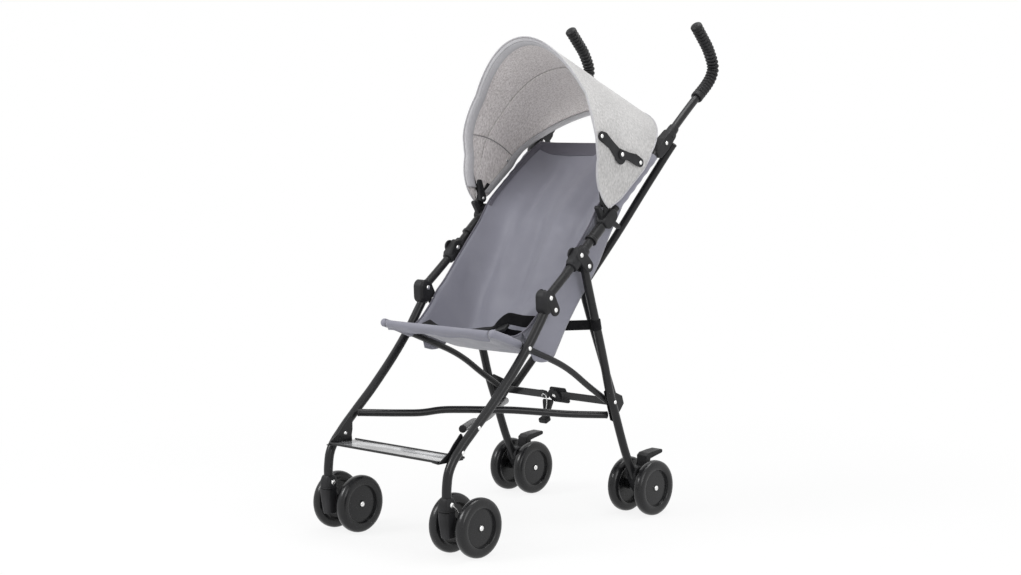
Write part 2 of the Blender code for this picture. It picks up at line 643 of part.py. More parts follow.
def top_block(side):
    """Moulded block that joins the upper tube, the handle and the back tube's pin."""
    tag = names(side)
    body = cheek("top_block_" + tag, side,
                 [(0.0480, 0.8180, 0.0125), (TOP_BLOCK[0], TOP_BLOCK[1], 0.0150),
                  (0.0920, 0.8570, 0.0125), (0.0930, 0.8390, 0.0110)],
                 UPPER_X - 0.0125, UPPER_X + 0.0125, BLACK_PLASTIC, 0.002)
    pin = Vector((side * BACK_PIN.x, BACK_PIN.y, BACK_PIN.z))
    spot = place(side, UPPER_X, BACK_PIVOT) + pin * (BACK_RADIUS + 0.0006)
    across = pin.orthogonal().normalized() * 0.08
    other = pin.cross(across).normalized() * 0.08
    ring = [spot + across + other, spot - across + other, spot - across - other,
            spot + across - other]
    body = carve(body, slab("behind", ring, pin * -0.08, BLACK_PLASTIC))
    line = [place(side, UPPER_X, (-0.0782, 0.7146)), place(side, UPPER_X, TOP_BLOCK),
            place(side, UPPER_X, (0.1058, 0.8690)),
            place(side, UPPER_X + 0.0005, (0.1428, 0.9010))]
    body = carve(body, sweep("bore", line, UPPER_RADIUS + CLEARANCE, BLACK_PLASTIC))
    outer = UPPER_X + 0.0125
    return fuse(body, rivet(side, outer - 0.002, outer + 0.0010, (0.0560, 0.8380), 0.0036))


def canopy_clamp(side):
    """Clamp round the upper tube with the fixed socket of the rear bow."""
    tag = names(side)
    body = cheek("canopy_clamp_" + tag, side,
                 [(-0.1330, 0.6700, 0.0162), (-0.1200, 0.6820, 0.0150)],
                 UPPER_X - 0.0135, UPPER_X + 0.0135, BLACK_PLASTIC, 0.002)
    post = cheek("post", side, [(-0.1340, 0.6790, 0.0100), (CANOPY_PIVOT[0], CANOPY_PIVOT[1], 0.0100)],
                 UPPER_X + 0.0030, UPPER_X + 0.0075, BLACK_PLASTIC)
    arm = cheek("arm", side, [(-0.1180, 0.6720, 0.0060), (-0.0890, 0.6560, 0.0045)],
                UPPER_X - 0.0050, UPPER_X + 0.0050, BLACK_PLASTIC)
    body = fuse(body, post, arm)
    tube = sweep("cut", path(side, UPPER_ROWS[2:5]), UPPER_RADIUS + CLEARANCE, BLACK_TUBE)
    return carve(body, tube)


def bow_socket(side):
    """Turning socket of the front bow on the clamp's post."""
    tag = names(side)
    out = UPPER_X + 0.0030 - CLEARANCE
    body = cheek("bow_socket_" + tag, side,
                 [(CANOPY_PIVOT[0], CANOPY_PIVOT[1], 0.0095), (-0.1440, 0.7480, 0.0055)],
                 out - 0.0095, out, BLACK_PLASTIC, 0.001)
    wire = sweep("cut", bow_line()[:5] if side > 0 else bow_line()[-5:], BOW_RADIUS + CLEARANCE,
                 BLACK_PLASTIC, 8)
    return hinge_at(carve(body, wire), place(side, out - 0.005, CANOPY_PIVOT))


# Canopy: cloth stretched straight from the front bow's arch to the arch of the rear hem.
FRONT_ANGLE = -9.4
REAR_ANGLE = 54.6
FRONT_LEAN = -22.0
SIDE_TOP = 0.150
SIDE_SHARE = 0.34
TIP_DROP = 0.012
# crown reach from the clamp axis, then the two powers that round the shoulder
FRONT_ARCH = (0.3690, 1.30, 0.50)
REAR_ARCH = (0.3540, 1.70, 0.45)
ARCH_STEPS = 18


def arch(shape, inset=0.0, base=0.004):
    """Half arch from the clamp to the middle: (half width, reach from the axis) pairs."""
    crown, bend, shoulder = shape
    pairs = []
    for j in range(ARCH_STEPS + 1):
        s = j / ARCH_STEPS
        if s < SIDE_SHARE:
            pairs.append((CANOPY_HALF - inset, base + (SIDE_TOP - base) * s / SIDE_SHARE))
        else:
            rise = math.sin(math.pi / 2 * (s - SIDE_SHARE) / (1.0 - SIDE_SHARE))
            pairs.append(((CANOPY_HALF - inset) * max(0.0, 1.0 - rise ** bend) ** shoulder,
                          SIDE_TOP + (crown - inset - SIDE_TOP) * rise))
    return pairs


def canopy_point(half_width, reach, angle, drop=0.0):
    turn = math.radians(angle)
    low = drop * max(0.0, 1.0 - reach / SIDE_TOP)
    return Vector((half_width, CANOPY_PIVOT[0] + REAR_AXLE_Y + reach * math.sin(turn),
                   CANOPY_PIVOT[1] + reach * math.cos(turn) - low))


def canopy_row(share, inset):
    """One row of the cloth, a share of the way from the front edge to the rear hem."""
    row = []
    for (x0, r0), (x1, r1) in zip(arch(FRONT_ARCH, inset), arch(REAR_ARCH, inset)):
        lean = FRONT_LEAN * max(0.0, 1.0 - r0 / 0.24)
        front = canopy_point(x0, r0, FRONT_ANGLE + lean, TIP_DROP)
        row.append(front.lerp(canopy_point(x1, r1, REAR_ANGLE, TIP_DROP), share))
    return row + [Vector((-p.x, p.y, p.z)) for p in row[-2::-1]]


def shell_from_rows(name, outer, inner, mat):
    """A closed thin shell between two grids of the same shape."""
    n, m = len(outer), len(outer[0])
    verts = [v for row in outer for v in row] + [v for row in inner for v in row]
    size = n * m
    faces = []
    for i in range(n - 1):
        for j in range(m - 1):
            a, b, c, d = i * m + j, i * m + j + 1, (i + 1) * m + j + 1, (i + 1) * m + j
            faces.append((a, b, c, d))
            faces.append((size + d, size + c, size + b, size + a))
    rim = [j for j in range(m)] + [i * m + m - 1 for i in range(1, n)]
    rim += [(n - 1) * m + j for j in range(m - 2, -1, -1)] + [i * m for i in range(n - 2, 0, -1)]
    for k, a in enumerate(rim):
        b = rim[(k + 1) % len(rim)]
        faces.append((b, a, size + a, size + b))
    return make(name, verts, faces, mat)


def canopy_gore(name, start, stop, rows, lift):
    outer, inner = [], []
    for i in range(rows + 1):
        share = start + (stop - start) * i / rows
        outer.append(canopy_row(share, -lift))
        inner.append(canopy_row(share, CANOPY_CLOTH - lift))
    return shell_from_rows(name, outer, inner, CANOPY_GREY)


def bow_line():
    """Front bow: up from one socket, out under the cloth, over the crown and down again."""
    under = CANOPY_CLOTH + BOW_RADIUS + 9 * CLEARANCE
    pairs = zip(arch(FRONT_ARCH, under, base=0.012), arch(REAR_ARCH, under, base=0.012))
    row = []
    for (x, r), (_, r1) in pairs:
        inward = max(0.0, min(1.0, (0.105 - r) / 0.050))
        front = canopy_point(x - (x - UPPER_X + 0.0018) * inward, r, FRONT_ANGLE)
        row.append(front.lerp(canopy_point(front.x, r1, REAR_ANGLE), 0.02))
    return row + [Vector((-p.x, p.y, p.z)) for p in row[-2::-1]]


def front_bow():
    line = bow_line()
    return sweep("front_bow", line, BOW_RADIUS, BLACK_TUBE, 8)


STAY_A = (-0.1662, 0.8566)
STAY_B = (-0.0992, 0.8160)
STAY_C = (-0.0353, 0.7968)
STAY_IN = CANOPY_HALF + 0.0012 + CLEARANCE


def stay_link(name, side, start, end, x_in, hinge):
    """Flat link of the canopy stay."""
    body = cheek(name, side, [(start[0], start[1], 0.0055), (end[0], end[1], 0.0055)],
                 x_in, x_in + 0.0024, STAY_BLACK, 0, 12)
    return hinge_at(body, place(side, x_in, hinge))


# Sling seat: hem line at the tubes, deep line along the body of the sling.
SEAT_ROWS = [
    ((-0.4730, 0.4530), (-0.4730, 0.4525)), ((-0.4560, 0.4480), (-0.4520, 0.4420)),
    ((-0.4320, 0.4400), (-0.4250, 0.4290)), ((-0.4060, 0.4350), (-0.3850, 0.4150)),
    ((-0.3860, 0.4360), (-0.3400, 0.3980)), ((-0.3720, 0.4420), (-0.3000, 0.3850)),
    ((-0.3560, 0.4520), (-0.2750, 0.3860)), ((-0.3268, 0.4790), (-0.2593, 0.4061)),
    ((-0.3042, 0.5060), (-0.2330, 0.4584)), ((-0.2783, 0.5310), (-0.2098, 0.4938)),
    ((-0.2457, 0.5683), (-0.1830, 0.5304)), ((-0.2127, 0.6055), (-0.1550, 0.5720)),
    ((-0.1626, 0.6607), (-0.1188, 0.6269)), ((-0.1288, 0.7058), (-0.0900, 0.6750)),
    ((-0.0602, 0.7621), (-0.0420, 0.7240)), ((0.0099, 0.8150), (0.0200, 0.7830)),
    ((0.0480, 0.8380), (0.0500, 0.8366))]
SEAT_TUBE_GAP = 0.0210
SEAT_HALF_LOW = RAIL_X - RAIL_RADIUS
SEAT_HALF_TOP = UPPER_X - SEAT_TUBE_GAP


def seat_grid(offset):
    grid = []
    for i, (hem, deep) in enumerate(SEAT_ROWS):
        t = min(1.0, max(0.0, (i - 4) / 4.0))
        half = SEAT_HALF_LOW + (SEAT_HALF_TOP - SEAT_HALF_LOW) * t
        crown = math.sin(math.pi * i / (len(SEAT_ROWS) - 1))
        row = []
        for u in (-1.0, -0.975, -0.94, -0.88, -0.78, -0.6, -0.3, 0.0,
                  0.3, 0.6, 0.78, 0.88, 0.94, 0.975, 1.0):
            v = abs(u)
            wall = min(1.0, max(0.0, (v - 0.74) / 0.26))
            wall = wall ** 1.6
            soft = 0.004 * crown * math.cos(u * math.pi / 2)
            x = half * (u if v < 0.94 else math.copysign(0.94 + (v - 0.94) * 1.0, u))
            y = deep[0] + (hem[0] - deep[0]) * wall + soft * 0.6
            z = deep[1] + (hem[1] - deep[1]) * wall - soft * 0.8
            row.append(Vector((x, y + REAR_AXLE_Y, z)))
        grid.append(row)
    if offset:
        moved = []
        for i in range(len(grid)):
            line = []
            for j in range(len(grid[0])):
                du = grid[i][min(j + 1, len(grid[0]) - 1)] - grid[i][max(j - 1, 0)]
                dv = grid[min(i + 1, len(grid) - 1)][j] - grid[max(i - 1, 0)][j]
                line.append(grid[i][j] + du.cross(dv).normalized() * offset)
            moved.append(line)
        return moved
    return grid


def seat():
    return shell_from_rows("seat", seat_grid(0.0), seat_grid(CLOTH), SEAT_CLOTH)


def waist_strap():
    """Webbing across the sitter's lap with its ends at the side hems."""
    outer, inner = [], []
    for v in (-1.0, 1.0):
        row_a, row_b = [], []
        for j in range(17):
            u = -1.0 + j / 8.0
            dip = 0.009 * (1.0 - u * u)
            centre = Vector(((SEAT_HALF_LOW - 0.0070) * u,
                             -0.3570 + REAR_AXLE_Y - dip * 1.4, 0.4416 - dip))
            row_a.append(centre + Vector((0, 0.0110, 0.0110)) * v)
            row_b.append(row_a[-1] + Vector((0, -0.0011, 0.0011)))
        outer.append(row_a)
        inner.append(row_b)
    return shell_from_rows("waist_strap", outer, inner, WEBBING)


for side in (1, -1):
    tag = names(side)
    front_leg(side)
    caster_socket(side)
    caster_fork(side)
    wheel("front_wheel_outer_" + tag, side, FRONT_PAIR_X, WHEEL_OFFSET, FRONT_AXLE)
    wheel("front_wheel_inner_" + tag, side, FRONT_PAIR_X, -WHEEL_OFFSET, FRONT_AXLE)
    lower_knuckle(side)
    footrest_bracket(side)
    upper_tube(side)
    upper_knuckle(side)
    rear_leg(side)
    rear_bracket(side)
    rear_hub(side)
    brake_pedal(side)
    wheel("rear_wheel_outer_" + tag, side, REAR_PAIR_X, WHEEL_OFFSET, REAR_AXLE)
    wheel("rear_wheel_inner_" + tag, side, REAR_PAIR_X, -WHEEL_OFFSET, REAR_AXLE)
    back_tube(side)
    lower_bar(side)
    lock_arm(side)
    seat_rail(side)
    handle(side)
    grip(side)
    top_block(side)
    canopy_clamp(side)
    bow_socket(side)
    stay_link("stay_front_" + tag, side, STAY_A, STAY_B, STAY_IN, STAY_A)
    stay_link("stay_rear_" + tag, side, STAY_B, STAY_C, STAY_IN + 0.0024 + CLEARANCE, STAY_C)

release_pedal()
footrest()
seat()
waist_strap()
canopy_gore("canopy_front", 0.0, CANOPY_SPLIT - 0.003, 5, 0.0006)
canopy_gore("canopy_rear", CANOPY_SPLIT + 0.003, 1.0, 5, -0.0013)
front_bow()
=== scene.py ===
# Compact umbrella stroller: black tube frame on eight small wheels, sling seat, folding canopy.
# Front is -Y and up is +Z. Side-view points are (y, z), with y measured from the rear axle.
import math

import bmesh
import bpy
from mathutils import Matrix, Vector


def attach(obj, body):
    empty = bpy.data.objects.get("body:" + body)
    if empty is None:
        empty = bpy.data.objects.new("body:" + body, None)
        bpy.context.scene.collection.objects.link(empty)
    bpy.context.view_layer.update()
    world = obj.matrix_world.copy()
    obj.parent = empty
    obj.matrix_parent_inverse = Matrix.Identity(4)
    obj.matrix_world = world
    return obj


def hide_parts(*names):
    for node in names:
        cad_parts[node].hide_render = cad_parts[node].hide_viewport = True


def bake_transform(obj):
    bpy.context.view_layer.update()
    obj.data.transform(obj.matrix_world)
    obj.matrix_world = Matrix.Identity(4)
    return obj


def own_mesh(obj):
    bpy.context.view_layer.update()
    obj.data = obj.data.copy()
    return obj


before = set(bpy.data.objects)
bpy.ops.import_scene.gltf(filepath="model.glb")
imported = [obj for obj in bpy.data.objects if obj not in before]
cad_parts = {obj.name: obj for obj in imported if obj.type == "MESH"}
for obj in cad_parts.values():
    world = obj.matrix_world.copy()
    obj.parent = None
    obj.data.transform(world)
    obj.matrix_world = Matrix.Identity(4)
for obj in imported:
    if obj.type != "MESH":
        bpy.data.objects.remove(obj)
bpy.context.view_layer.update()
scene = bpy.context.scene
SIDES = ((1, "right"), (-1, "left"))


# Photo studio: a white sweep under plain soft light, seen from the front right at pushing height.
# The sweep and the sky are plain white to the lens and to gloss, and take only a faint shadow.
scene.view_settings.view_transform = "Standard"
lens = bpy.data.objects.new("camera", bpy.data.cameras.new("camera"))
scene.collection.objects.link(lens)
scene.camera = lens
turn, dip = math.radians(42.61), math.radians(5.24)
aim = Vector((-math.sin(turn) * math.cos(dip), math.cos(turn) * math.cos(dip), -math.sin(dip)))
lens.location = (2.8057, -3.1024, 0.8997)
lens.rotation_euler = aim.to_track_quat("-Z", "Y").to_euler()
lens.data.lens = 65.89
lens.data.sensor_width = 36.0


def softbox(name, spot, target, size, watts):
    """A square soft lamp that looks at a point."""
    lamp = bpy.data.objects.new(name, bpy.data.lights.new(name, "AREA"))
    lamp.data.size = size
    lamp.data.energy = watts
    lamp.location = spot
    lamp.rotation_euler = (Vector(target) - Vector(spot)).to_track_quat("-Z", "Y").to_euler()
    scene.collection.objects.link(lamp)


softbox("key", (-1.5, -2.9, 2.7), (0, 0, 0.55), 1.5, 74)
softbox("fill", (3.2, -0.9, 1.6), (0, 0, 0.6), 1.8, 34)
softbox("top", (0.3, 0.6, 3.1), (0, 0, 0.5), 1.6, 40)


def combine(tree, operation, first, second):
    """Two values joined by one operation."""
    node = tree.nodes.new("ShaderNodeMath")
    node.operation = operation
    tree.links.new(first, node.inputs[0])
    tree.links.new(second, node.inputs[1])
    return node.outputs[0]


def mixed(tree, share, plain, other):
    """Two shaders mixed by a share from 0 to 1."""
    mix = tree.nodes.new("ShaderNodeMixShader")
    tree.links.new(share, mix.inputs[0])
    tree.links.new(plain.outputs[0], mix.inputs[1])
    tree.links.new(other.outputs[0], mix.inputs[2])
    return mix


def seen_white(tree, plain, white):
    """White for the lens, for gloss and through clear sheet, and the plain shader otherwise."""
    path = tree.nodes.new("ShaderNodeLightPath").outputs
    direct = combine(tree, "MAXIMUM", path["Is Camera Ray"], path["Is Glossy Ray"])
    share = combine(tree, "MAXIMUM", direct, path["Is Transmission Ray"])
    return mixed(tree, share, plain, white)


sky = bpy.data.worlds.new("white_sky")
sky.use_nodes = True
scene.world = sky
dim = sky.node_tree.nodes["Background"]
dim.inputs["Color"].default_value = (1, 1, 1, 1)
dim.inputs["Strength"].default_value = 0.55
bright = sky.node_tree.nodes.new("ShaderNodeBackground")
bright.inputs["Color"].default_value = (1, 1, 1, 1)
bright.inputs["Strength"].default_value = 1.0
sky.node_tree.links.new(seen_white(sky.node_tree, dim, bright).outputs[0],
                        sky.node_tree.nodes["World Output"].inputs["Surface"])

shape = bmesh.new()
bmesh.ops.create_grid(shape, x_segments=2, y_segments=2, size=7.0)
floor = bpy.data.objects.new("floor", bpy.data.meshes.new("floor"))
shape.to_mesh(floor.data)
shape.free()
scene.collection.objects.link(floor)
paper = bpy.data.materials.new("white_paper")
paper.use_nodes = True
tree = paper.node_tree
matt = tree.nodes["Principled BSDF"]
matt.inputs["Base Color"].default_value = (0.82, 0.82, 0.82, 1)
matt.inputs["Roughness"].default_value = 0.9
glow = tree.nodes.new("ShaderNodeEmission")
glow.inputs["Strength"].default_value = 1.0
spread = tree.nodes.new("ShaderNodeVectorMath")
spread.operation = "LENGTH"
tree.links.new(tree.nodes.new("ShaderNodeTexCoord").outputs["Object"], spread.inputs[0])
fade = tree.nodes.new("ShaderNodeMapRange")
fade.interpolation_type = "SMOOTHSTEP"
for socket, value in (("From Min", 0.55), ("From Max", 1.7), ("To Min", 0.86), ("To Max", 1.0)):
    fade.inputs[socket].default_value = value
tree.links.new(spread.outputs["Value"], fade.inputs["Value"])
lit = mixed(tree, fade.outputs[0], matt, glow)
tree.links.new(seen_white(tree, matt, lit).outputs[0],
               tree.nodes["Material Output"].inputs["Surface"])
floor.data.materials.append(paper)


# Front legs: 20 mm steel tube, bent forward at the foot, with a satin black powder coat that
# is faintly uneven. The legs run from the caster sockets up into the lower knuckles.
AXLE_Y = 0.1856
LEG_RADIUS = 0.010
CASTER_X, CASTER_Y = 0.179, -0.6232


def at(side, x, y, z):
    """A side-view point (y, z) at half width x on one side."""
    return Vector((side * x, y + AXLE_Y, z))


def finish(name, colour, rough, levels, tones=None, shine=None, grain=None):
    """A new finish with fixed levels; its colour and roughness wander, each (scale, low, high).

    The grain is a fine bump (scale, detail, strength, distance). Returned are the finish, its
    node tree, its shader and the surface's own coordinates.
    """
    made = bpy.data.materials.new(name)
    made.use_nodes = True
    made.diffuse_color = (*colour, 1.0)
    tree = made.node_tree
    shader, coords = tree.nodes["Principled BSDF"], tree.nodes.new("ShaderNodeTexCoord")
    shader.inputs["Base Color"].default_value = (*colour, 1.0)
    shader.inputs["Roughness"].default_value = rough
    for socket, value in levels.items():
        shader.inputs[socket].default_value = value
    if tones:
        wander(tree, coords, *tones, shader.inputs["Base Color"])
    if shine:
        wander(tree, coords, *shine, shader.inputs["Roughness"])
    if grain:
        scale, detail, strength, distance = grain
        height = wander(tree, coords, scale, 0.0, 1.0, None, detail)
        bump(tree, shader, height.outputs[0], strength, distance)
    return made, tree, shader, coords


def wander(tree, coords, scale, low, high, socket, detail=3.0, stretch=None):
    """Let a colour or a value wander between two ends with a soft noise."""
    where = coords.outputs["Object"]
    if stretch:
        mapping = tree.nodes.new("ShaderNodeMapping")
        mapping.inputs["Scale"].default_value = stretch
        tree.links.new(where, mapping.inputs["Vector"])
        where = mapping.outputs[0]
    noise = tree.nodes.new("ShaderNodeTexNoise")
    noise.inputs["Scale"].default_value = scale
    noise.inputs["Detail"].default_value = detail
    tree.links.new(where, noise.inputs["Vector"])
    span = tree.nodes.new("ShaderNodeMapRange")
    span.inputs["From Min"].default_value = 0.32
    span.inputs["From Max"].default_value = 0.68
    tree.links.new(noise.outputs["Fac"], span.inputs["Value"])
    if isinstance(low, tuple):
        mix = tree.nodes.new("ShaderNodeMix")
        mix.data_type = "RGBA"
        mix.inputs[6].default_value = (*low, 1.0)
        mix.inputs[7].default_value = (*high, 1.0)
        tree.links.new(span.outputs[0], mix.inputs["Factor"])
        tree.links.new(mix.outputs[2], socket)
        return mix
    span.inputs["To Min"].default_value = low
    span.inputs["To Max"].default_value = high
    if socket:
        tree.links.new(span.outputs[0], socket)
    return span


def bump(tree, shader, height, strength, distance, under=None):
    """Raise the surface by a height, on top of an earlier bump if there is one."""
    node = tree.nodes.new("ShaderNodeBump")
    node.inputs["Strength"].default_value = strength
    node.inputs["Distance"].default_value = distance
    tree.links.new(height, node.inputs["Height"])
    if under:
        tree.links.new(under.outputs[0], node.inputs["Normal"])
    tree.links.new(node.outputs[0], shader.inputs["Normal"])
    return node


POWDER_BLACK = finish("powder_black", (0.012, 0.012, 0.013), 0.3,
                      {"Specular IOR Level": 0.24, "Coat Weight": 0.10, "Coat Roughness": 0.14},
                      (7.0, (0.010, 0.010, 0.011), (0.016, 0.016, 0.017)), (55.0, 0.26, 0.36),
                      (700.0, 1.0, 0.12, 0.0002))[0]


def place_piece(piece, body, stands_for=()):
    """Link a finished piece to the scene and let it ride with its body."""
    if piece.name not in scene.collection.objects:
        scene.collection.objects.link(piece)
    if stands_for:
        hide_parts(*stands_for)
    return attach(piece, body)


def bent_tube(name, line, radius, coat, rounds=7, smooth=8):
    """Round tube bent smoothly through a line of points."""
    curve = bpy.data.curves.new(name, "CURVE")
    curve.dimensions = "3D"
    curve.fill_mode = "FULL"
    curve.bevel_depth = radius
    curve.bevel_resolution = rounds
    curve.resolution_u = smooth
    curve.use_fill_caps = True
    spline = curve.splines.new("BEZIER")
    spline.bezier_points.add(len(line) - 1)
    for knot, point in zip(spline.bezier_points, line):
        knot.co = point
        knot.handle_left_type = knot.handle_right_type = "AUTO"
    spline.use_smooth = True
    curve.materials.append(coat)
    return bpy.data.objects.new(name, curve)


FRONT_LEG = [(CASTER_X, CASTER_Y, 0.1080), (CASTER_X, -0.6234, 0.1500),
             (CASTER_X, -0.6153, 0.1846), (CASTER_X, -0.5845, 0.2216), (0.1800, -0.5461, 0.2562),
             (0.1812, -0.4812, 0.3129), (0.1830, -0.3884, 0.4088), (0.1845, -0.3425, 0.4687),
             (0.1845, -0.3310, 0.4850)]
for side, hand in SIDES:
    leg = bent_tube("front_leg_tube_" + hand, [at(side, *p) for p in FRONT_LEG], LEG_RADIUS,
                    POWDER_BLACK)
    place_piece(leg, hand + "_front", ["front_leg_" + hand])


# Upper side tubes: straight 19 mm tube from the lower knuckle to the top block, with a short
# stepped sleeve pushed over it above the upper knuckle. Same powder coat as the legs.
UPPER_X = 0.186
UPPER_RADIUS = 0.0094
UPPER_TUBE = [(-0.3340, 0.5078), (-0.2619, 0.5632), (-0.2063, 0.6092), (-0.1672, 0.6420),
              (-0.0782, 0.7146), (0.0681, 0.8361)]


def turned(name, line, radii, coat, segments=40):
    """A turned piece: rings of given radii set along a line, bridged and capped."""
    shape, rings = bmesh.new(), []
    for i, (point, radius) in enumerate(zip(line, radii)):
        along = line[min(i + 1, len(line) - 1)] - line[max(i - 1, 0)]
        pose = Matrix.Translation(point) @ along.to_track_quat("Z", "X").to_matrix().to_4x4()
        made = bmesh.ops.create_circle(shape, segments=segments, radius=radius, matrix=pose,
                                       cap_ends=i in (0, len(line) - 1))
        rings.append(made["verts"])
    return solid(name, skin(shape, rings), coat)


def skin(shape, rings):
    """Bridge a row of rings into one closed skin."""
    for lower, upper in zip(rings, rings[1:]):
        edges = {e for v in lower + upper for e in v.link_edges
                 if e.other_vert(v) in lower or e.other_vert(v) in upper}
        edges = [e for e in edges if (e.verts[0] in lower) == (e.verts[1] in lower)]
        bmesh.ops.bridge_loops(shape, edges=edges)
    bmesh.ops.recalc_face_normals(shape, faces=shape.faces)
    return shape


def even_shading(piece):
    """Weigh a piece's normals by the size of its faces, so that flat faces look flat."""
    piece.modifiers.new("even_shading", "WEIGHTED_NORMAL").keep_sharp = True


def solid(name, shape, coat, sharp=35.0):
    """Turn a finished bmesh into a piece with smooth faces and crisp sharp edges."""
    piece = bpy.data.objects.new(name, bpy.data.meshes.new(name))
    for face in shape.faces:
        face.smooth = True
    shape.to_mesh(piece.data)
    shape.free()
    piece.data.set_sharp_from_angle(angle=math.radians(sharp))
    piece.data.materials.append(coat)
    even_shading(piece)
    return piece


def stepped(name, low, high, reach, radii, coat, segments=40):
    """A straight turned piece with a ring of each radius at each share of the way up."""
    return turned(name, [low.lerp(high, t) for t in reach], radii, coat, segments)


for side, hand in SIDES:
    tube = bent_tube("upper_side_tube_" + hand, [at(side, UPPER_X, *p) for p in UPPER_TUBE],
                     UPPER_RADIUS, POWDER_BLACK, smooth=3)
    place_piece(tube, "upper_" + hand, ["upper_tube_" + hand])
    sleeve = stepped("upper_sleeve_" + hand, at(side, UPPER_X, -0.1830, 0.6285),
                     at(side, UPPER_X, -0.1480, 0.6577),
                     (0.0, 0.012, 0.125, 0.14, 0.17, 0.93, 0.985, 1.0),
                     (0.0128, 0.0140, 0.0140, 0.0132, 0.0122, 0.0122, 0.0116, 0.0102),
                     POWDER_BLACK)
    place_piece(sleeve, "upper_" + hand)


# Rear legs: 19 mm tube, slightly curved, hinged in the upper knuckle and ending in the brake
# housing between the twin wheels. Same powder coat.
REAR_LEG_RADIUS = 0.0095
REAR_LEG = [(0.186, -0.2065, 0.5830), (0.186, -0.1975, 0.5530), (0.1858, -0.1805, 0.4994),
            (0.1852, -0.1575, 0.4318), (0.1846, -0.1305, 0.3480), (0.1840, -0.1130, 0.2900),
            (0.1835, -0.0912, 0.2352), (0.1835, -0.0680, 0.1756), (0.1835, -0.0526, 0.1394),
            (0.1835, -0.0260, 0.0860)]
for side, hand in SIDES:
    leg = bent_tube("rear_leg_tube_" + hand, [at(side, *p) for p in REAR_LEG], REAR_LEG_RADIUS,
                    POWDER_BLACK, smooth=5)
    place_piece(leg, "rear_" + hand, ["rear_leg_" + hand])


# Back tubes: a crossing pair of 18 mm tubes behind the seat, each bowed a little so that one
# passes the other, with a pressed plastic plug in each end.
BACK_TUBE_RADIUS = 0.009
BLACK_PLUG = finish("plug_plastic", (0.012, 0.012, 0.013), 0.45, {"Specular IOR Level": 0.22},
                    (30.0, (0.010, 0.010, 0.011), (0.018, 0.018, 0.019)), None,
                    (1300.0, 2.0, 0.2, 0.0002))[0]


def end_plug(name, end, out, steps, radii, body):
    """A pressed plug in a tube's end: rings set by steps on the way out."""
    plug = turned(name, [end + out * step for step in steps], radii, BLACK_PLUG)
    place_piece(plug, body)


for side, hand in SIDES:
    top, foot = at(side, UPPER_X, 0.0970, 0.8260), at(-side, 0.154, -0.0600, 0.2620)
    along = (foot - top).normalized()
    step = Vector((0, side * 0.962, -side * 0.272)) * 0.0098
    line = [top - along * 0.012]
    for t in (0.0, 0.15, 0.35, 0.45, 0.54, 0.65, 0.85, 1.0):
        part = min(1.0, max(0.0, 1 - abs(t - 0.53) / 0.48) * 1.5)
        line.append(top.lerp(foot, t) + step * part)
    line.append(foot + along * 0.0095)
    tube = bent_tube("back_cross_tube_" + hand, line, BACK_TUBE_RADIUS, POWDER_BLACK, smooth=6)
    place_piece(tube, "back_tube_" + hand, ["back_tube_" + hand])
    for tag, end, out in (("foot", foot + along * 0.0085, along),
                          ("top", top - along * 0.011, -along)):
        end_plug("back_plug_%s_%s" % (tag, hand), end, out,
                 (-0.002, 0.0004, 0.0020, 0.0032, 0.0035),
                 (0.0088, 0.0093, 0.0092, 0.0078, 0.0058), "back_tube_" + hand)


# Lower bars: a crossing pair of 16 mm bars under the seat, with the frame's powder coat, each
# stepped by a bar's thickness where they cross, and with round plugs in their ends.
LOWER_BAR_RADIUS = 0.008
for side, hand in SIDES:
    front, rear = at(side, 0.152, -0.5461, 0.2580), at(-side, 0.150, -0.0950, 0.2325)
    along = (rear - front).normalized()
    lift = Vector((0, 0, -side * 0.0089))
    line = [front - along * 0.0105]
    for t, part in ((0.0, 0.0), (0.16, 0.0), (0.24, 0.15), (0.32, 0.85), (0.40, 1.0),
                    (0.50, 1.0), (0.60, 1.0), (0.70, 0.7), (0.84, 0.15), (1.0, 0.0)):
        line.append(front.lerp(rear, t) + lift * part)
    line.append(rear + along * 0.0095)
    bar = bent_tube("lower_cross_bar_" + hand, line, LOWER_BAR_RADIUS, POWDER_BLACK, smooth=5)
    place_piece(bar, "lower_bar_" + hand, ["lower_bar_" + hand])
    for tag, end, out in (("front", line[0], -along), ("rear", line[-1], along)):
        end_plug("bar_plug_%s_%s" % (tag, hand), end, out,
                 (-0.003, -0.001, 0.0004, 0.0012, 0.0014),
                 (0.0079, 0.0083, 0.0082, 0.0068, 0.0050), "lower_bar_" + hand)


# Seat rails: 14 mm powder-coated rods along both sides of the seat pan. In front the seat cloth
# is sewn round them as a sheath, and behind they run down beside the rear legs.
RAIL_X = 0.1625
RAIL_RADIUS = 0.007
RAIL = [(-0.4730, 0.4505), (-0.4350, 0.4360), (-0.3888, 0.4179), (-0.3145, 0.3884),
        (-0.2600, 0.3660), (-0.2200, 0.3450), (-0.1600, 0.3055), (-0.1000, 0.2680)]
for side, hand in SIDES:
    rail = bent_tube("seat_side_rail_" + hand, [at(side, RAIL_X, *p) for p in RAIL], RAIL_RADIUS,
                     POWDER_BLACK)
    place_piece(rail, "seat_rail_" + hand, ["seat_rail_" + hand])


# Knuckles: thick black nylon mouldings with rounded cheeks, riveted round the tubes. Each has
# a fine moulded grain, a raised outer cheek and an open slot where the hinged tube swings.
BLACK_NYLON = finish("black_nylon", (0.016, 0.016, 0.017), 0.46, {"Specular IOR Level": 0.20},
                     (24.0, (0.013, 0.013, 0.014), (0.023, 0.023, 0.025)), (90.0, 0.38, 0.54),
                     (1100.0, 2.0, 0.35, 0.0002))[0]


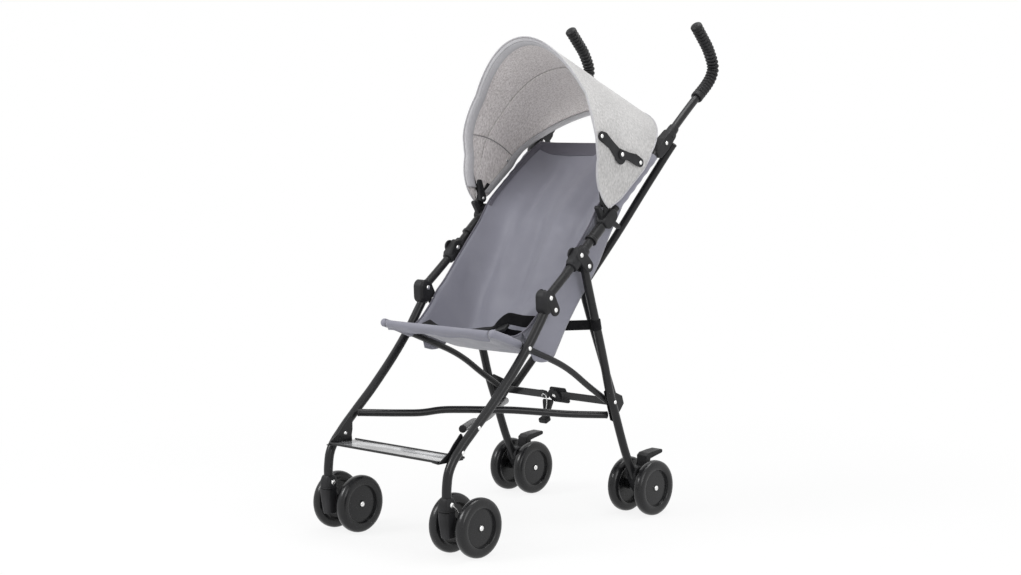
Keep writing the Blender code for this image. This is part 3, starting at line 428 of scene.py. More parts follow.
def moulded(name, side, x_in, x_out, discs, edge, segments=3, coat=BLACK_NYLON):
    """Closed moulding drawn tight round discs, edges rounded.

    Each disc is (y, z, radius), and a fourth number sets it in from x_in and x_out.
    """
    shape = bmesh.new()
    for y, z, radius, *inset in discs:
        for x in (x_in + sum(inset), x_out - sum(inset)):
            pose = Matrix.Translation(at(side, x, y, z)) @ Matrix.Rotation(math.pi / 2, 4, "Y")
            bmesh.ops.create_circle(shape, segments=36, radius=radius, matrix=pose)
    bmesh.ops.remove_doubles(shape, verts=shape.verts, dist=1e-6)
    hull = bmesh.ops.convex_hull(shape, input=shape.verts)
    spare = {v for v in hull["geom_interior"] + hull["geom_unused"]
             if isinstance(v, bmesh.types.BMVert)}
    bmesh.ops.delete(shape, geom=list(spare), context="VERTS")
    loose = [e for e in shape.edges if not e.link_faces]
    bmesh.ops.delete(shape, geom=loose, context="EDGES")
    bmesh.ops.dissolve_limit(shape, angle_limit=math.radians(1.5), verts=shape.verts,
                             edges=shape.edges)
    rims = [e for e in shape.edges
            if len(e.link_faces) == 2 and e.calc_face_angle() > math.radians(50)]
    bmesh.ops.bevel(shape, geom=rims, offset=edge, segments=segments, affect="EDGES",
                    profile=0.5, material=-1, clamp_overlap=True)
    bmesh.ops.recalc_face_normals(shape, faces=shape.faces)
    return solid(name, shape, coat)


def baked(piece):
    """The mesh of a linked piece as its modifiers shape it."""
    if piece.name not in scene.collection.objects:
        scene.collection.objects.link(piece)
    bpy.context.view_layer.update()
    return bpy.data.meshes.new_from_object(
        piece.evaluated_get(bpy.context.evaluated_depsgraph_get()))


def settle(piece):
    """Apply a piece's modifiers for good."""
    done = baked(piece)
    piece.modifiers.clear()
    piece.data = done


def cut_out(piece, cutter):
    """Cut one closed shape out of a piece for good."""
    scene.collection.objects.link(cutter)
    step = piece.modifiers.new("cut", "BOOLEAN")
    step.operation = "DIFFERENCE"
    step.solver = "EXACT"
    step.object = cutter
    piece.modifiers.move(len(piece.modifiers) - 1, 0)
    settle(piece)
    even_shading(piece)
    bpy.data.objects.remove(cutter, do_unlink=True)
    return piece


RIVET_STEEL = finish("rivet_steel", (0.86, 0.86, 0.85), 0.22, {"Metallic": 1.0}, None,
                     (260.0, 0.16, 0.34), (900.0, 2.0, 0.1, 0.0001))[0]


def rivets(name, heads, body, height=0.42):
    """Domed rivet heads, each (point, direction, radius), as one piece on one body."""
    shape = bmesh.new()
    for point, out, radius in heads:
        facing = Vector(out).to_track_quat("Z", "X").to_matrix().to_4x4()
        pose = Matrix.Translation(point) @ facing @ Matrix.Diagonal((1, 1, height, 1))
        bmesh.ops.create_uvsphere(shape, u_segments=24, v_segments=12, radius=radius, matrix=pose)
    return place_piece(solid(name, shape, RIVET_STEEL), body)


def side_rivets(name, side, heads, body):
    """Rivets across the stroller, each (1 facing out or -1 facing in, x, y, z, radius)."""
    rivets(name, [(at(side, x, y, z), (side * way, 0, 0), radius)
                  for way, x, y, z, radius in heads], body)


LOWER_KNUCKLE, LOWER_RIVET = (-0.3274, 0.5153), (-0.3119, 0.4885)
UPPER_KNUCKLE, UPPER_RIVET = (-0.2035, 0.5760), (-0.2292, 0.6010)
RIVET_RADIUS = 0.0052
CHEEK = 0.0050
for side, hand in SIDES:
    x_in, x_out = 0.1695, 0.1995
    body = moulded("lower_knuckle_moulding_" + hand, side, x_in, x_out,
                   [(-0.3320, 0.5170, 0.0170), (-0.3330, 0.4950, 0.0150)], 0.0080, 7)
    slot = moulded("slot", side, 0.1745, 0.1965,
                   [(*LOWER_KNUCKLE, 0.0118), (-0.2700, 0.5600, 0.0112),
                    (-0.3150, 0.6000, 0.0150)], 0.001, 1)
    place_piece(cut_out(body, slot), hand + "_front", ["lower_knuckle_" + hand])
    for tag, x in (("inner", x_in - 0.0004), ("outer", x_out - 0.0046)):
        cheek = moulded("lower_knuckle_cheek_%s_%s" % (tag, hand), side, x, x + CHEEK,
                        [(*LOWER_KNUCKLE, 0.0142), (*LOWER_RIVET, 0.0134)], 0.0018, 4)
        place_piece(cheek, hand + "_front")
    side_rivets("lower_knuckle_rivets_" + hand, side,
                [(way, x, *spot, RIVET_RADIUS)
                 for way, x in ((1, x_out + 0.0004), (-1, x_in - 0.0004))
                 for spot in (LOWER_KNUCKLE, LOWER_RIVET)], hand + "_front")

    x_in, x_out = UPPER_X - 0.0150, UPPER_X + 0.0150
    barrel = stepped("upper_knuckle_barrel_" + hand, at(side, UPPER_X, -0.2480, 0.5747),
                     at(side, UPPER_X, -0.2030, 0.6119),
                     (0.0, 0.02, 0.10, 0.16, 0.84, 0.90, 0.98, 1.0),
                     (0.0122, 0.0136, 0.0142, 0.0144, 0.0144, 0.0142, 0.0136, 0.0122),
                     BLACK_NYLON)
    place_piece(barrel, "upper_" + hand, ["upper_knuckle_" + hand])
    for tag, x in (("inner", x_in), ("outer", x_out - CHEEK)):
        cheek = moulded("upper_knuckle_cheek_%s_%s" % (tag, hand), side, x, x + CHEEK,
                        [(-0.2292, 0.6020, 0.0145), (*UPPER_KNUCKLE, 0.0138)], 0.0018, 4)
        place_piece(cheek, "upper_" + hand)
    hood = moulded("upper_knuckle_hood_" + hand, side, x_in + 0.0020, x_out - 0.0020,
                   [(-0.2420, 0.5860, 0.0105), (-0.2205, 0.6080, 0.0100)], 0.0060, 5)
    place_piece(hood, "upper_" + hand)
    side_rivets("upper_knuckle_rivets_" + hand, side,
                [(way, x, *spot, RIVET_RADIUS) for way, x in ((1, x_out), (-1, x_in))
                 for spot in (UPPER_RIVET, UPPER_KNUCKLE)], "upper_" + hand)


# Caster sockets and forks: nylon blocks on the ends of the front legs. The fork turns under a
# thin parting gap, tapers back to the axle and is hollow behind; a wire lever locks it.
FRONT_AXLE = (-0.5684, 0.0625)
SOCKET_RIVET_Z = 0.1144
AXLE_RADIUS = 0.0060
SQUARENESS = 4.0


def rounded_block(name, levels):
    """A nylon block of rounded-square sections, each (centre, half x, half y), bridged."""
    shape, rings = bmesh.new(), []
    for i, (centre, half_x, half_y) in enumerate(levels):
        made = bmesh.ops.create_circle(shape, segments=48, radius=1.0,
                                       cap_ends=i in (0, len(levels) - 1))
        for v in made["verts"]:
            swell = (abs(v.co.x) ** SQUARENESS + abs(v.co.y) ** SQUARENESS) ** (-1 / SQUARENESS)
            v.co = centre + Vector((v.co.x * swell * half_x, v.co.y * swell * half_y, 0))
        rings.append(made["verts"])
    return solid(name, skin(shape, rings), BLACK_NYLON)


def axle_pin(name, side, ends, axle, body):
    """The plain pin that a pair of wheels turns on."""
    pin = turned(name, [at(side, x, *axle) for x in ends], (AXLE_RADIUS, AXLE_RADIUS),
                 BLACK_NYLON)
    place_piece(pin, body)


SOCKET_LEVELS = [(0.0992, 0.0142, 0.0148), (0.0998, 0.0150, 0.0156), (0.1028, 0.0150, 0.0156),
                 (0.1032, 0.0145, 0.0151), (0.1040, 0.0145, 0.0151), (0.1044, 0.0150, 0.0156),
                 (0.1120, 0.0150, 0.0156), (0.1180, 0.0143, 0.0149), (0.1230, 0.0130, 0.0134),
                 (0.1262, 0.0119, 0.0121), (0.1276, 0.0111, 0.0111)]
FORK_LEVELS = [(0.0986, 0.0, 0.0142, 0.0148), (0.0980, 0.0, 0.0150, 0.0156),
               (0.0900, 0.0, 0.0150, 0.0156), (0.0700, 0.0010, 0.0138, 0.0146),
               (0.0500, 0.0030, 0.0124, 0.0130), (0.0452, 0.0036, 0.0118, 0.0124),
               (0.0440, 0.0036, 0.0106, 0.0112)]
for side, hand in SIDES:
    socket = rounded_block("caster_socket_moulding_" + hand,
                           [(at(side, CASTER_X, CASTER_Y, z), x, y)
                            for z, x, y in SOCKET_LEVELS])
    place_piece(socket, hand + "_front", ["caster_socket_" + hand])
    hood = rounded_block("caster_hood_" + hand,
                         [(at(side, CASTER_X, CASTER_Y + back, z), x, y)
                          for z, back, x, y in FORK_LEVELS])
    place_piece(hood, "caster_" + hand, ["caster_fork_" + hand])
    arm = moulded("caster_fork_arm_" + hand, side, 0.1675, 0.1905,
                  [(-0.6180, 0.0790, 0.0110), (-0.6150, 0.0620, 0.0120), (*FRONT_AXLE, 0.0125)],
                  0.0024)
    hollow = moulded("hollow", side, 0.1705, 0.1875,
                     [(-0.5900, 0.0450, 0.0060), (-0.6080, 0.0450, 0.0060),
                      (-0.5980, 0.0300, 0.0100)], 0.001, 1)
    place_piece(cut_out(arm, hollow), "caster_" + hand)
    axle_pin("front_axle_pin_" + hand, side, (0.1535, 0.2025), FRONT_AXLE, "caster_" + hand)
    side_rivets("caster_rivets_" + hand, side,
                [(1, 0.1936, CASTER_Y, SOCKET_RIVET_Z, 0.0054),
                 (-1, 0.1644, CASTER_Y, SOCKET_RIVET_Z, 0.0054)], hand + "_front")
    wire = bent_tube("caster_lock_wire_" + hand,
                     [at(side, *p) for p in
                      ((0.1950, CASTER_Y, SOCKET_RIVET_Z), (0.1972, -0.6160, 0.1070),
                       (0.1978, -0.6080, 0.0975), (0.1975, -0.6000, 0.0880))],
                     0.0009, RIVET_STEEL, 3, 6)
    place_piece(wire, hand + "_front")


# Wheels: eight one-piece moulded wheels, 125 mm across, in pairs. A fat glossy tyre ring stands
# round a sunk disc with a low boss, and a bright rivet caps the axle at each end.
WHEEL_BLACK = finish("moulded_wheel", (0.010, 0.010, 0.011), 0.25,
                     {"Specular IOR Level": 0.28, "Coat Weight": 0.12, "Coat Roughness": 0.08},
                     (12.0, (0.009, 0.009, 0.010), (0.013, 0.013, 0.014)), (40.0, 0.24, 0.30),
                     (900.0, 2.0, 0.04, 0.0001))[0]
REAR_X, REAR_AXLE = 0.183, (0.0, 0.0625)
PAIR_OFFSET = 0.0375
HUB_FACE = 0.0086
WHEEL_FACE = [(HUB_FACE, 0.0), (HUB_FACE, 0.0056), (0.0074, 0.0066), (0.0060, 0.0080),
              (0.0058, 0.0220), (0.0056, 0.0360), (0.0050, 0.0386), (0.0052, 0.0398),
              (0.0070, 0.0406), (0.0100, 0.0412), (0.0112, 0.0422), (0.0117, 0.0436),
              (0.0124, 0.0466), (0.0125, 0.0500), (0.0122, 0.0532), (0.0113, 0.0564),
              (0.0096, 0.0594), (0.0068, 0.0614), (0.0035, 0.0623), (0.0006, 0.0625)]
WHEEL_BACK = [(-0.0006, 0.0625), (-0.0035, 0.0623), (-0.0068, 0.0614), (-0.0096, 0.0594),
              (-0.0113, 0.0564), (-0.0122, 0.0532), (-0.0125, 0.0500), (-0.0121, 0.0466),
              (-0.0112, 0.0440), (-0.0098, 0.0432), (-0.0040, 0.0420), (-0.0020, 0.0400),
              (-0.0018, 0.0140), (-0.0030, 0.0120), (-0.0118, 0.0112), (-0.0124, 0.0104),
              (-0.0124, 0.0)]
for side, hand in SIDES:
    for row, pair_x, axle in (("front", 0.178, FRONT_AXLE), ("rear", REAR_X, REAR_AXLE)):
        for tag, out in (("outer", 1), ("inner", -1)):
            hub = at(side, pair_x + out * PAIR_OFFSET, *axle)
            shape = bmesh.new()
            chain = [shape.verts.new(hub + Vector((side * out * x, 0, r)))
                     for x, r in WHEEL_FACE + WHEEL_BACK]
            for a, b in zip(chain, chain[1:]):
                shape.edges.new((a, b))
            bmesh.ops.spin(shape, geom=shape.verts[:] + shape.edges[:], cent=hub, axis=(1, 0, 0),
                           dvec=(0, 0, 0), angle=math.tau, steps=64, use_merge=True)
            bmesh.ops.remove_doubles(shape, verts=shape.verts, dist=1e-5)
            bmesh.ops.recalc_face_normals(shape, faces=shape.faces)
            wheel = solid("%s_wheel_moulding_%s_%s" % (row, tag, hand), shape, WHEEL_BLACK, 40)
            body = "%s_wheel_%s_%s" % (row, tag, hand)
            place_piece(wheel, body, [body])
            rivets("%s_wheel_cap_%s_%s" % (row, tag, hand),
                   [(hub + Vector((side * out * HUB_FACE, 0, 0)), (side * out, 0, 0), 0.0060)],
                   body, 0.45)


# Brake housings and pedals: a nylon housing round the foot of each rear leg carries the rear
# axle; the thick bent foot pedal on it presses a stop between the wheels.
PEDAL = [(0.0008, 0.1115), (0.0004, 0.1060), (0.0050, 0.0995), (0.0120, 0.0985),
         (0.0185, 0.1030), (0.0200, 0.1125), (0.0215, 0.1230), (0.0330, 0.1262),
         (0.0600, 0.1318), (0.0628, 0.1345), (0.0622, 0.1392), (0.0590, 0.1406),
         (0.0400, 0.1398), (0.0120, 0.1370), (0.0035, 0.1310)]
PEDAL_WIDTH = 0.0210
PEDAL_PIVOT = (0.0100, 0.1080)


def slab(shape, ring, move):
    """Add a flat plate to a shape: a ring of points pulled out by a move."""
    face = shape.faces.new([shape.verts.new(point) for point in ring])
    deep = bmesh.ops.extrude_face_region(shape, geom=[face])
    pulled = [v for v in deep["geom"] if isinstance(v, bmesh.types.BMVert)]
    bmesh.ops.translate(shape, verts=pulled, vec=move)


def soften(shape, angle, edge, segments):
    """Turn a shape's faces outward and round the edges that are sharper than an angle."""
    bmesh.ops.recalc_face_normals(shape, faces=shape.faces)
    bmesh.ops.bevel(shape, geom=[e for e in shape.edges if e.calc_face_angle(0) > angle],
                    offset=edge, segments=segments, affect="EDGES", profile=0.5, material=-1,
                    clamp_overlap=True)
    return shape


for side, hand in SIDES:
    hub = moulded("rear_hub_moulding_" + hand, side, REAR_X - 0.0150, REAR_X + 0.0150,
                  [(*REAR_AXLE, 0.0170), (0.0080, 0.0960, 0.0120), (-0.0220, 0.0960, 0.0150)],
                  0.0028)
    place_piece(hub, "rear_" + hand, ["rear_hub_" + hand])
    for tag, x in (("in", REAR_X - 0.0146), ("out", REAR_X + 0.0112)):
        lug = moulded("rear_hub_lug_%s_%s" % (tag, hand), side, x, x + 0.0034,
                      [(*PEDAL_PIVOT, 0.0085), (0.0040, 0.0900, 0.0100)], 0.0010)
        place_piece(lug, "rear_" + hand)
    axle_pin("rear_axle_pin_" + hand, side, (0.1585, 0.2075), REAR_AXLE, "rear_" + hand)
    shape = bmesh.new()
    slab(shape, [at(side, REAR_X - PEDAL_WIDTH / 2, *p) for p in PEDAL],
         (side * PEDAL_WIDTH, 0, 0))
    # the tread is wider than the stem
    for v in shape.verts:
        reach = min(1.0, max(0.0, (v.co.z - 0.118) / 0.010))
        v.co.x += (0.0042 * reach) * (1 if v.co.x > side * REAR_X else -1)
    soften(shape, 0.9, 0.0016, 3)
    place_piece(solid("brake_pedal_moulding_" + hand, shape, BLACK_NYLON), "brake_" + hand,
                ["brake_pedal_" + hand])
    side_rivets("brake_rivet_" + hand, side, [(1, REAR_X + 0.0146, *PEDAL_PIVOT, 0.0034)],
                "rear_" + hand)


# Footrest: a clear vinyl sheet stretched between two thin black rods, held by a pressed steel
# gusset with a flange on the inside of each front leg.
GUSSET = [(-0.6380, 0.1960), (-0.5640, 0.1960), (-0.5655, 0.2010), (-0.5662, 0.2110),
          (-0.5640, 0.2220), (-0.5640, 0.2330), (-0.5640, 0.2420), (-0.5665, 0.2490),
          (-0.5700, 0.2520), (-0.5740, 0.2500), (-0.5810, 0.2430), (-0.5920, 0.2330),
          (-0.6050, 0.2180)]
GUSSET_THICK = 0.0025
GUSSET_RIVET = (-0.5850, 0.2160)
SHELF_Z = 0.1960
for side, hand in SIDES:
    inner = CASTER_X - LEG_RADIUS - 0.0003
    shape = bmesh.new()
    slab(shape, [at(side, inner, *p) for p in GUSSET], (-side * GUSSET_THICK, 0, 0))
    slab(shape, [at(side, x, y, SHELF_Z) for x, y in
                 ((inner, -0.6380), (inner, -0.5640), (inner - 0.024, -0.5660),
                  (inner - 0.024, -0.6320))], (0, 0, 0.0022))
    gusset = solid("footrest_gusset_" + hand, soften(shape, 1.0, 0.0005, 2), POWDER_BLACK)
    place_piece(gusset, hand + "_front", ["footrest_bracket_" + hand])
    side_rivets("front_leg_rivets_" + hand, side,
                [(1, 0.1886, *GUSSET_RIVET, 0.0044),
                 (-1, inner - GUSSET_THICK, *GUSSET_RIVET, 0.0044),
                 (1, 0.1897, -0.5383, 0.2619, 0.0042), (1, 0.1925, -0.3860, 0.4125, 0.0046)],
                hand + "_front")


def mesh_tube(name, line, radius, coat, rounds=3, smooth=4):
    """A bent tube as a linked mesh: a rod, a rolled hem or a cord."""
    curve = bent_tube(name, line, radius, coat, rounds, smooth)
    mesh = baked(curve)
    bpy.data.objects.remove(curve, do_unlink=True)
    piece = bpy.data.objects.new(name, mesh)
    scene.collection.objects.link(piece)
    return piece


CLEAR_VINYL, tree, shader, coords = finish("clear_vinyl", (0.80, 0.81, 0.83), 0.06,
                                           {"Transmission Weight": 0.82, "IOR": 1.45})
# Painted reflection: the base colour wanders in long streaks from near black to pale grey. The
# dark streaks stand in for the frame's bars mirrored in the creased sheet.
wander(tree, coords, 4.2, (0.03, 0.03, 0.03), (0.93, 0.94, 0.96), shader.inputs["Base Color"],
       1.0, (1.0, 5.5, 1.0))
ripple = wander(tree, coords, 5.0, 0.0, 1.0, None, 0.0, (1.0, 3.5, 1.0))
bump(tree, shader, ripple.outputs[0], 0.5, 0.004)
VINYL_WIDTH, VINYL_DEPTH = 0.326, 0.075
shape = bmesh.new()
made = bmesh.ops.create_grid(shape, x_segments=48, y_segments=12, size=0.5)
for v in made["verts"]:
    x, y = v.co.x * VINYL_WIDTH, v.co.y * VINYL_DEPTH
    slack = 1 - (abs(y) / (VINYL_DEPTH / 2)) ** 2
    v.co = (x, -0.5945 + AXLE_Y + y, 0.2002 - 0.0008 * slack * (1 + 0.4 * math.sin(x * 26)))
sheet = solid("footrest_vinyl", shape, CLEAR_VINYL)
sheet.modifiers.clear()
thick = sheet.modifiers.new("thickness", "SOLIDIFY")
thick.thickness = 0.0008
thick.offset = 0.0
scene.collection.objects.link(sheet)
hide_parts("footrest")
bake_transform(sheet)
for tag, y in (("front", -0.6320), ("rear", -0.5575)):
    rod = mesh_tube("footrest_rod_" + tag,
                    [at(1, x, y, 0.1998) for x in (-0.1640, -0.08, 0.0, 0.08, 0.1640)],
                    0.0026, POWDER_BLACK, 5, 3)
    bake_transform(rod)


# Folding lock arms: two flat, powder-coated steel arms that meet in a riveted nylon knuckle in
# the middle, with a rounded nylon housing over it on the right arm.
TILT, RISE = Vector((0, 0.888, 0.460)), Vector((0, -0.460, 0.888))
ARM_OUTLINE = [(-0.0095, 0.0), (-0.0080, 0.0055), (-0.0045, 0.0088), (0.0, 0.0098),
               (0.106, 0.0098), (0.118, 0.0112), (0.130, 0.0095), (0.134, 0.0),
               (0.130, -0.0095), (0.118, -0.0112), (0.106, -0.0098), (0.0, -0.0098),
               (-0.0045, -0.0088), (-0.0080, -0.0055)]
ARM_THICK = 0.0036


def rounded_box(name, pose, size, edge, segments, coat):
    """A box of a size, set by a pose, with all its edges rounded."""
    shape = bmesh.new()
    bmesh.ops.create_cube(shape, size=1.0, matrix=pose @ Matrix.Diagonal((*size, 1)))
    bmesh.ops.bevel(shape, geom=shape.edges[:], offset=edge, segments=segments, affect="EDGES",
                    profile=0.5, material=-1)
    return solid(name, shape, coat)


for side, hand in SIDES:
    spot = at(side, 0.150, -0.0875, 0.2620) + TILT * (0.0003 * side)
    shape = bmesh.new()
    slab(shape, [spot + Vector((-side * a, 0, 0)) + RISE * b for a, b in ARM_OUTLINE],
         TILT * (ARM_THICK * side))
    arm = solid("lock_arm_plate_" + hand, soften(shape, 1.0, 0.0009, 3), POWDER_BLACK)
    place_piece(arm, "lock_arm_" + hand, ["lock_arm_" + hand])
    middle = spot + Vector((-side * 0.150, 0, 0))
    drum = turned("lock_knuckle_" + hand,
                  [middle + TILT * (side * d) for d in (0.0, 0.0006, 0.0030, ARM_THICK)],
                  (0.0165, 0.0170, 0.0170, 0.0162), BLACK_NYLON, 48)
    place_piece(drum, "lock_arm_" + hand)
    if side > 0:
        axes = Matrix((Vector((1, 0, 0)), RISE, TILT)).transposed().to_4x4()
        centre = middle + Vector((0.009, 0, -0.004)) + TILT * 0.0078
        housing = rounded_box("lock_knuckle_housing", Matrix.Translation(centre) @ axes,
                              (0.0470, 0.0400, 0.0090), 0.0040, 5, BLACK_NYLON)
        place_piece(housing, "lock_arm_right")
        rivets("lock_housing_rivet",
               [(middle + Vector((0.002, 0, -0.004)) + TILT * 0.0124, TILT, 0.0052)],
               "lock_arm_right")
    rivets("lock_rivets_" + hand, [(middle + TILT * (side * ARM_THICK), TILT * side, 0.0050),
                                   (spot + TILT * (side * ARM_THICK), TILT * side, 0.0040)],
           "lock_arm_" + hand)


# Rear brackets and release pedal: the pressed steel plates behind the rear legs keep their solid
# shape and take the frame's powder coat, with a rivet through each leg. The pedal between them is
# a steel stem with a rounded plastic pad, held up by a bent spring wire.
for side, hand in SIDES:
    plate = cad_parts["rear_bracket_" + hand].data.materials
    plate.clear()
    plate.append(POWDER_BLACK)
    side_rivets("rear_leg_rivets_" + hand, side, [(1, 0.1930, -0.1035, 0.2664, 0.0044)],
                "rear_" + hand)
stem = moulded("release_pedal_stem", 1, -0.0330, -0.0070,
               [(-0.0882, 0.2450, 0.0045), (-0.0940, 0.2120, 0.0034, 0.0080)], 0.0014,
               coat=POWDER_BLACK)
place_piece(stem, "release_pedal", ["release_pedal"])
pad = rounded_box("release_pedal_pad", Matrix.Translation(at(1, -0.020, -0.1000, 0.2040))
                  @ Matrix.Rotation(math.radians(22), 4, "X"),
                  (0.0240, 0.0200, 0.0130), 0.0042, 5, BLACK_PLUG)
place_piece(pad, "release_pedal")
spring = bent_tube("release_spring_wire",
                   [at(1, *p) for p in
                    ((-0.034, -0.0930, 0.2560), (-0.030, -0.0965, 0.2620),
                     (-0.020, -0.0975, 0.2600), (-0.017, -0.0960, 0.2480),
                     (-0.018, -0.0970, 0.2300), (-0.020, -0.0990, 0.2120))],
                   0.0011, RIVET_STEEL, 3, 8)
place_piece(spring, "release_pedal")


# Handles: bent tube ends with ribbed black rubber grips that curl back and up in a J. Each
# grip has a plain cuff, 22 rounded ribs and a domed end.
GRIP_RUBBER = finish("grip_rubber_moulded", (0.010, 0.010, 0.011), 0.42,
                     {"Specular IOR Level": 0.26},
                     (40.0, (0.008, 0.008, 0.009), (0.014, 0.014, 0.015)), (120.0, 0.34, 0.52),
                     (1500.0, 2.0, 0.3, 0.0002))[0]
GRIP_RINGS, RIBS = 265, 22
CUFF, DOME = 0.0145, 0.006
HANDLE = [(0.186, 0.0741, 0.8413), (0.186, 0.1058, 0.8690), (0.1865, 0.1428, 0.9010),
          (0.187, 0.1915, 0.9410), (0.1872, 0.2080, 0.9540)]
GRIP = [(0.187, 0.1915, 0.9410), (0.1875, 0.2295, 0.9713), (0.188, 0.2485, 0.9946),
        (0.1885, 0.2520, 1.0178), (0.189, 0.2341, 1.0520), (0.1895, 0.2145, 1.0745),
        (0.190, 0.1816, 1.1088)]


def through(points, t):
    """A point on the smooth curve through the given points, t from 0 to 1."""
    full = [points[0] * 2 - points[1]] + list(points) + [points[-1] * 2 - points[-2]]
    place = min(max(t, 0.0), 1.0) * (len(points) - 1)
    i = min(int(place), len(points) - 2)
    a, b, c, d = full[i:i + 4]
    s = place - i
    return 0.5 * ((2 * b) + (c - a) * s + (2 * a - 5 * b + 4 * c - d) * s * s
                  + (3 * b - a - 3 * c + d) * s ** 3)


def even_line(points, count, steps=400):
    """Evenly spaced points along the smooth curve through the given points."""
    fine = [through(points, i / steps) for i in range(steps + 1)]
    length = [0.0]
    for a, b in zip(fine, fine[1:]):
        length.append(length[-1] + (b - a).length)
    line, j = [], 0
    for i in range(count):
        want = length[-1] * i / (count - 1)
        while j < steps - 1 and length[j + 1] < want:
            j += 1
        line.append(fine[j].lerp(fine[j + 1], (want - length[j]) / (length[j + 1] - length[j])))
    return line, length[-1]


def grip_radius(reach, total):
    """The grip's radius at a reach from its lower end: plain cuff, rounded ribs, domed end."""
    if reach < CUFF:
        return 0.0132 + 0.0010 * min(1, reach / 0.002) - 0.0014 * max(0, (reach - 0.0115) / 0.003)
    if reach > total - DOME:
        return 0.0141 * math.sqrt(max(0.10, 1 - ((reach - total + DOME) / 0.0066) ** 2))
    wave = (reach - CUFF) / (total - CUFF - DOME) * RIBS
    return 0.0110 + 0.0032 * abs(math.sin(math.pi * wave)) ** 0.8


for side, hand in SIDES:
    tube = bent_tube("handle_tube_" + hand, [at(side, *p) for p in HANDLE], UPPER_RADIUS,
                     POWDER_BLACK, smooth=6)
    place_piece(tube, "upper_" + hand, ["handle_" + hand])
    line, total = even_line([at(side, *p) for p in GRIP], GRIP_RINGS)
    radii = [grip_radius(total * i / (GRIP_RINGS - 1), total) for i in range(GRIP_RINGS)]
    grip = turned("grip_ribbed_" + hand, line, radii, GRIP_RUBBER, 32)
    grip.modifiers.clear()
    place_piece(grip, "upper_" + hand, ["grip_" + hand])


# Top blocks: nylon mouldings that join the side tube, the handle and the back tube's pin, with
# a short collar on the handle side and a bright rivet.
BLOCK_RIVET = (0.0680, 0.8390)
for side, hand in SIDES:
    x_in, x_out = UPPER_X - 0.0125, UPPER_X + 0.0125
    block = moulded("top_block_moulding_" + hand, side, x_in, x_out,
                    [(0.0480, 0.8180, 0.0125), (0.0711, 0.8388, 0.0150),
                     (0.0920, 0.8570, 0.0125), (0.0800, 0.8440, 0.0110)], 0.0030)
    place_piece(block, "upper_" + hand, ["top_block_" + hand])
    collar = stepped("top_block_collar_" + hand, at(side, UPPER_X, 0.0880, 0.8535),
                     at(side, UPPER_X, 0.1120, 0.8742), (0.0, 0.75, 0.93, 1.0),
                     (0.0132, 0.0124, 0.0118, 0.0100), BLACK_NYLON)
    place_piece(collar, "upper_" + hand)
    side_rivets("top_block_rivets_" + hand, side,
                [(1, x_out, *BLOCK_RIVET, 0.0046), (-1, x_in, *BLOCK_RIVET, 0.0046)],
                "upper_" + hand)


# Canopy clamps: nylon clamps round the side tubes, with a claw in front, a thumb lever behind
# and a post outside that carries the canopy's bows.
CLAMP = (-0.1350, 0.7100)
POST_FACE, SOCKET_FACE = UPPER_X + 0.0075, 0.1795
for side, hand in SIDES:
    for name, stands_for, x_in, x_out, discs, edge in (
            ("canopy_clamp_moulding_", ["canopy_clamp_" + hand], UPPER_X - 0.0135,
             UPPER_X + 0.0135, [(-0.1330, 0.6700, 0.0162), (-0.1200, 0.6820, 0.0150)], 0.0030),
            ("canopy_post_", (), UPPER_X + 0.0030, POST_FACE,
             [(-0.1340, 0.6790, 0.0100), (*CLAMP, 0.0100)], 0.0012),
            ("canopy_lever_", (), UPPER_X - 0.0050, UPPER_X + 0.0050,
             [(-0.1180, 0.6720, 0.0060), (-0.0890, 0.6560, 0.0045)], 0.0015),
            ("canopy_claw_", (), UPPER_X - 0.0060, UPPER_X + 0.0060,
             [(-0.1420, 0.6760, 0.0070), (-0.1600, 0.7000, 0.0050)], 0.0018)):
        place_piece(moulded(name + hand, side, x_in, x_out, discs, edge), "upper_" + hand,
                    stands_for)
    cup = moulded("bow_socket_moulding_" + hand, side, SOCKET_FACE, 0.1887,
                  [(*CLAMP, 0.0095), (-0.1440, 0.7480, 0.0055, 0.0010)], 0.0012)
    place_piece(cup, "canopy_" + hand, ["bow_socket_" + hand])
    side_rivets("canopy_post_rivets_" + hand, side,
                [(1, POST_FACE, *CLAMP, 0.0042), (-1, SOCKET_FACE, *CLAMP, 0.0042)],
                "upper_" + hand)


# Sling seat: one cut of grey satin-faced polyester, taut at the front edge, hanging between its
# side hems and drawn into soft slanting folds; darker turned hems at the top and sides.
SLING_ROWS = [
    ((-0.4730, 0.4530), (-0.4730, 0.4525)), ((-0.4560, 0.4480), (-0.4520, 0.4420)),
    ((-0.4320, 0.4400), (-0.4250, 0.4290)), ((-0.4060, 0.4350), (-0.3850, 0.4150)),
    ((-0.3860, 0.4360), (-0.3400, 0.3980)), ((-0.3720, 0.4420), (-0.3000, 0.3850)),
    ((-0.3560, 0.4520), (-0.2750, 0.3860)), ((-0.3268, 0.4790), (-0.2593, 0.4061)),
    ((-0.3042, 0.5060), (-0.2330, 0.4584)), ((-0.2783, 0.5310), (-0.2098, 0.4938)),
    ((-0.2457, 0.5683), (-0.1830, 0.5304)), ((-0.2127, 0.6055), (-0.1550, 0.5720)),
    ((-0.1626, 0.6607), (-0.1188, 0.6269)), ((-0.1288, 0.7058), (-0.0900, 0.6750)),
    ((-0.0602, 0.7621), (-0.0420, 0.7240)), ((0.0099, 0.8150), (0.0200, 0.7830)),
    ((0.0480, 0.8380), (0.0500, 0.8366))]
HEM_LINE = [Vector((0, *row[0])) for row in SLING_ROWS]
DEEP_LINE = [Vector((0, *row[1])) for row in SLING_ROWS]


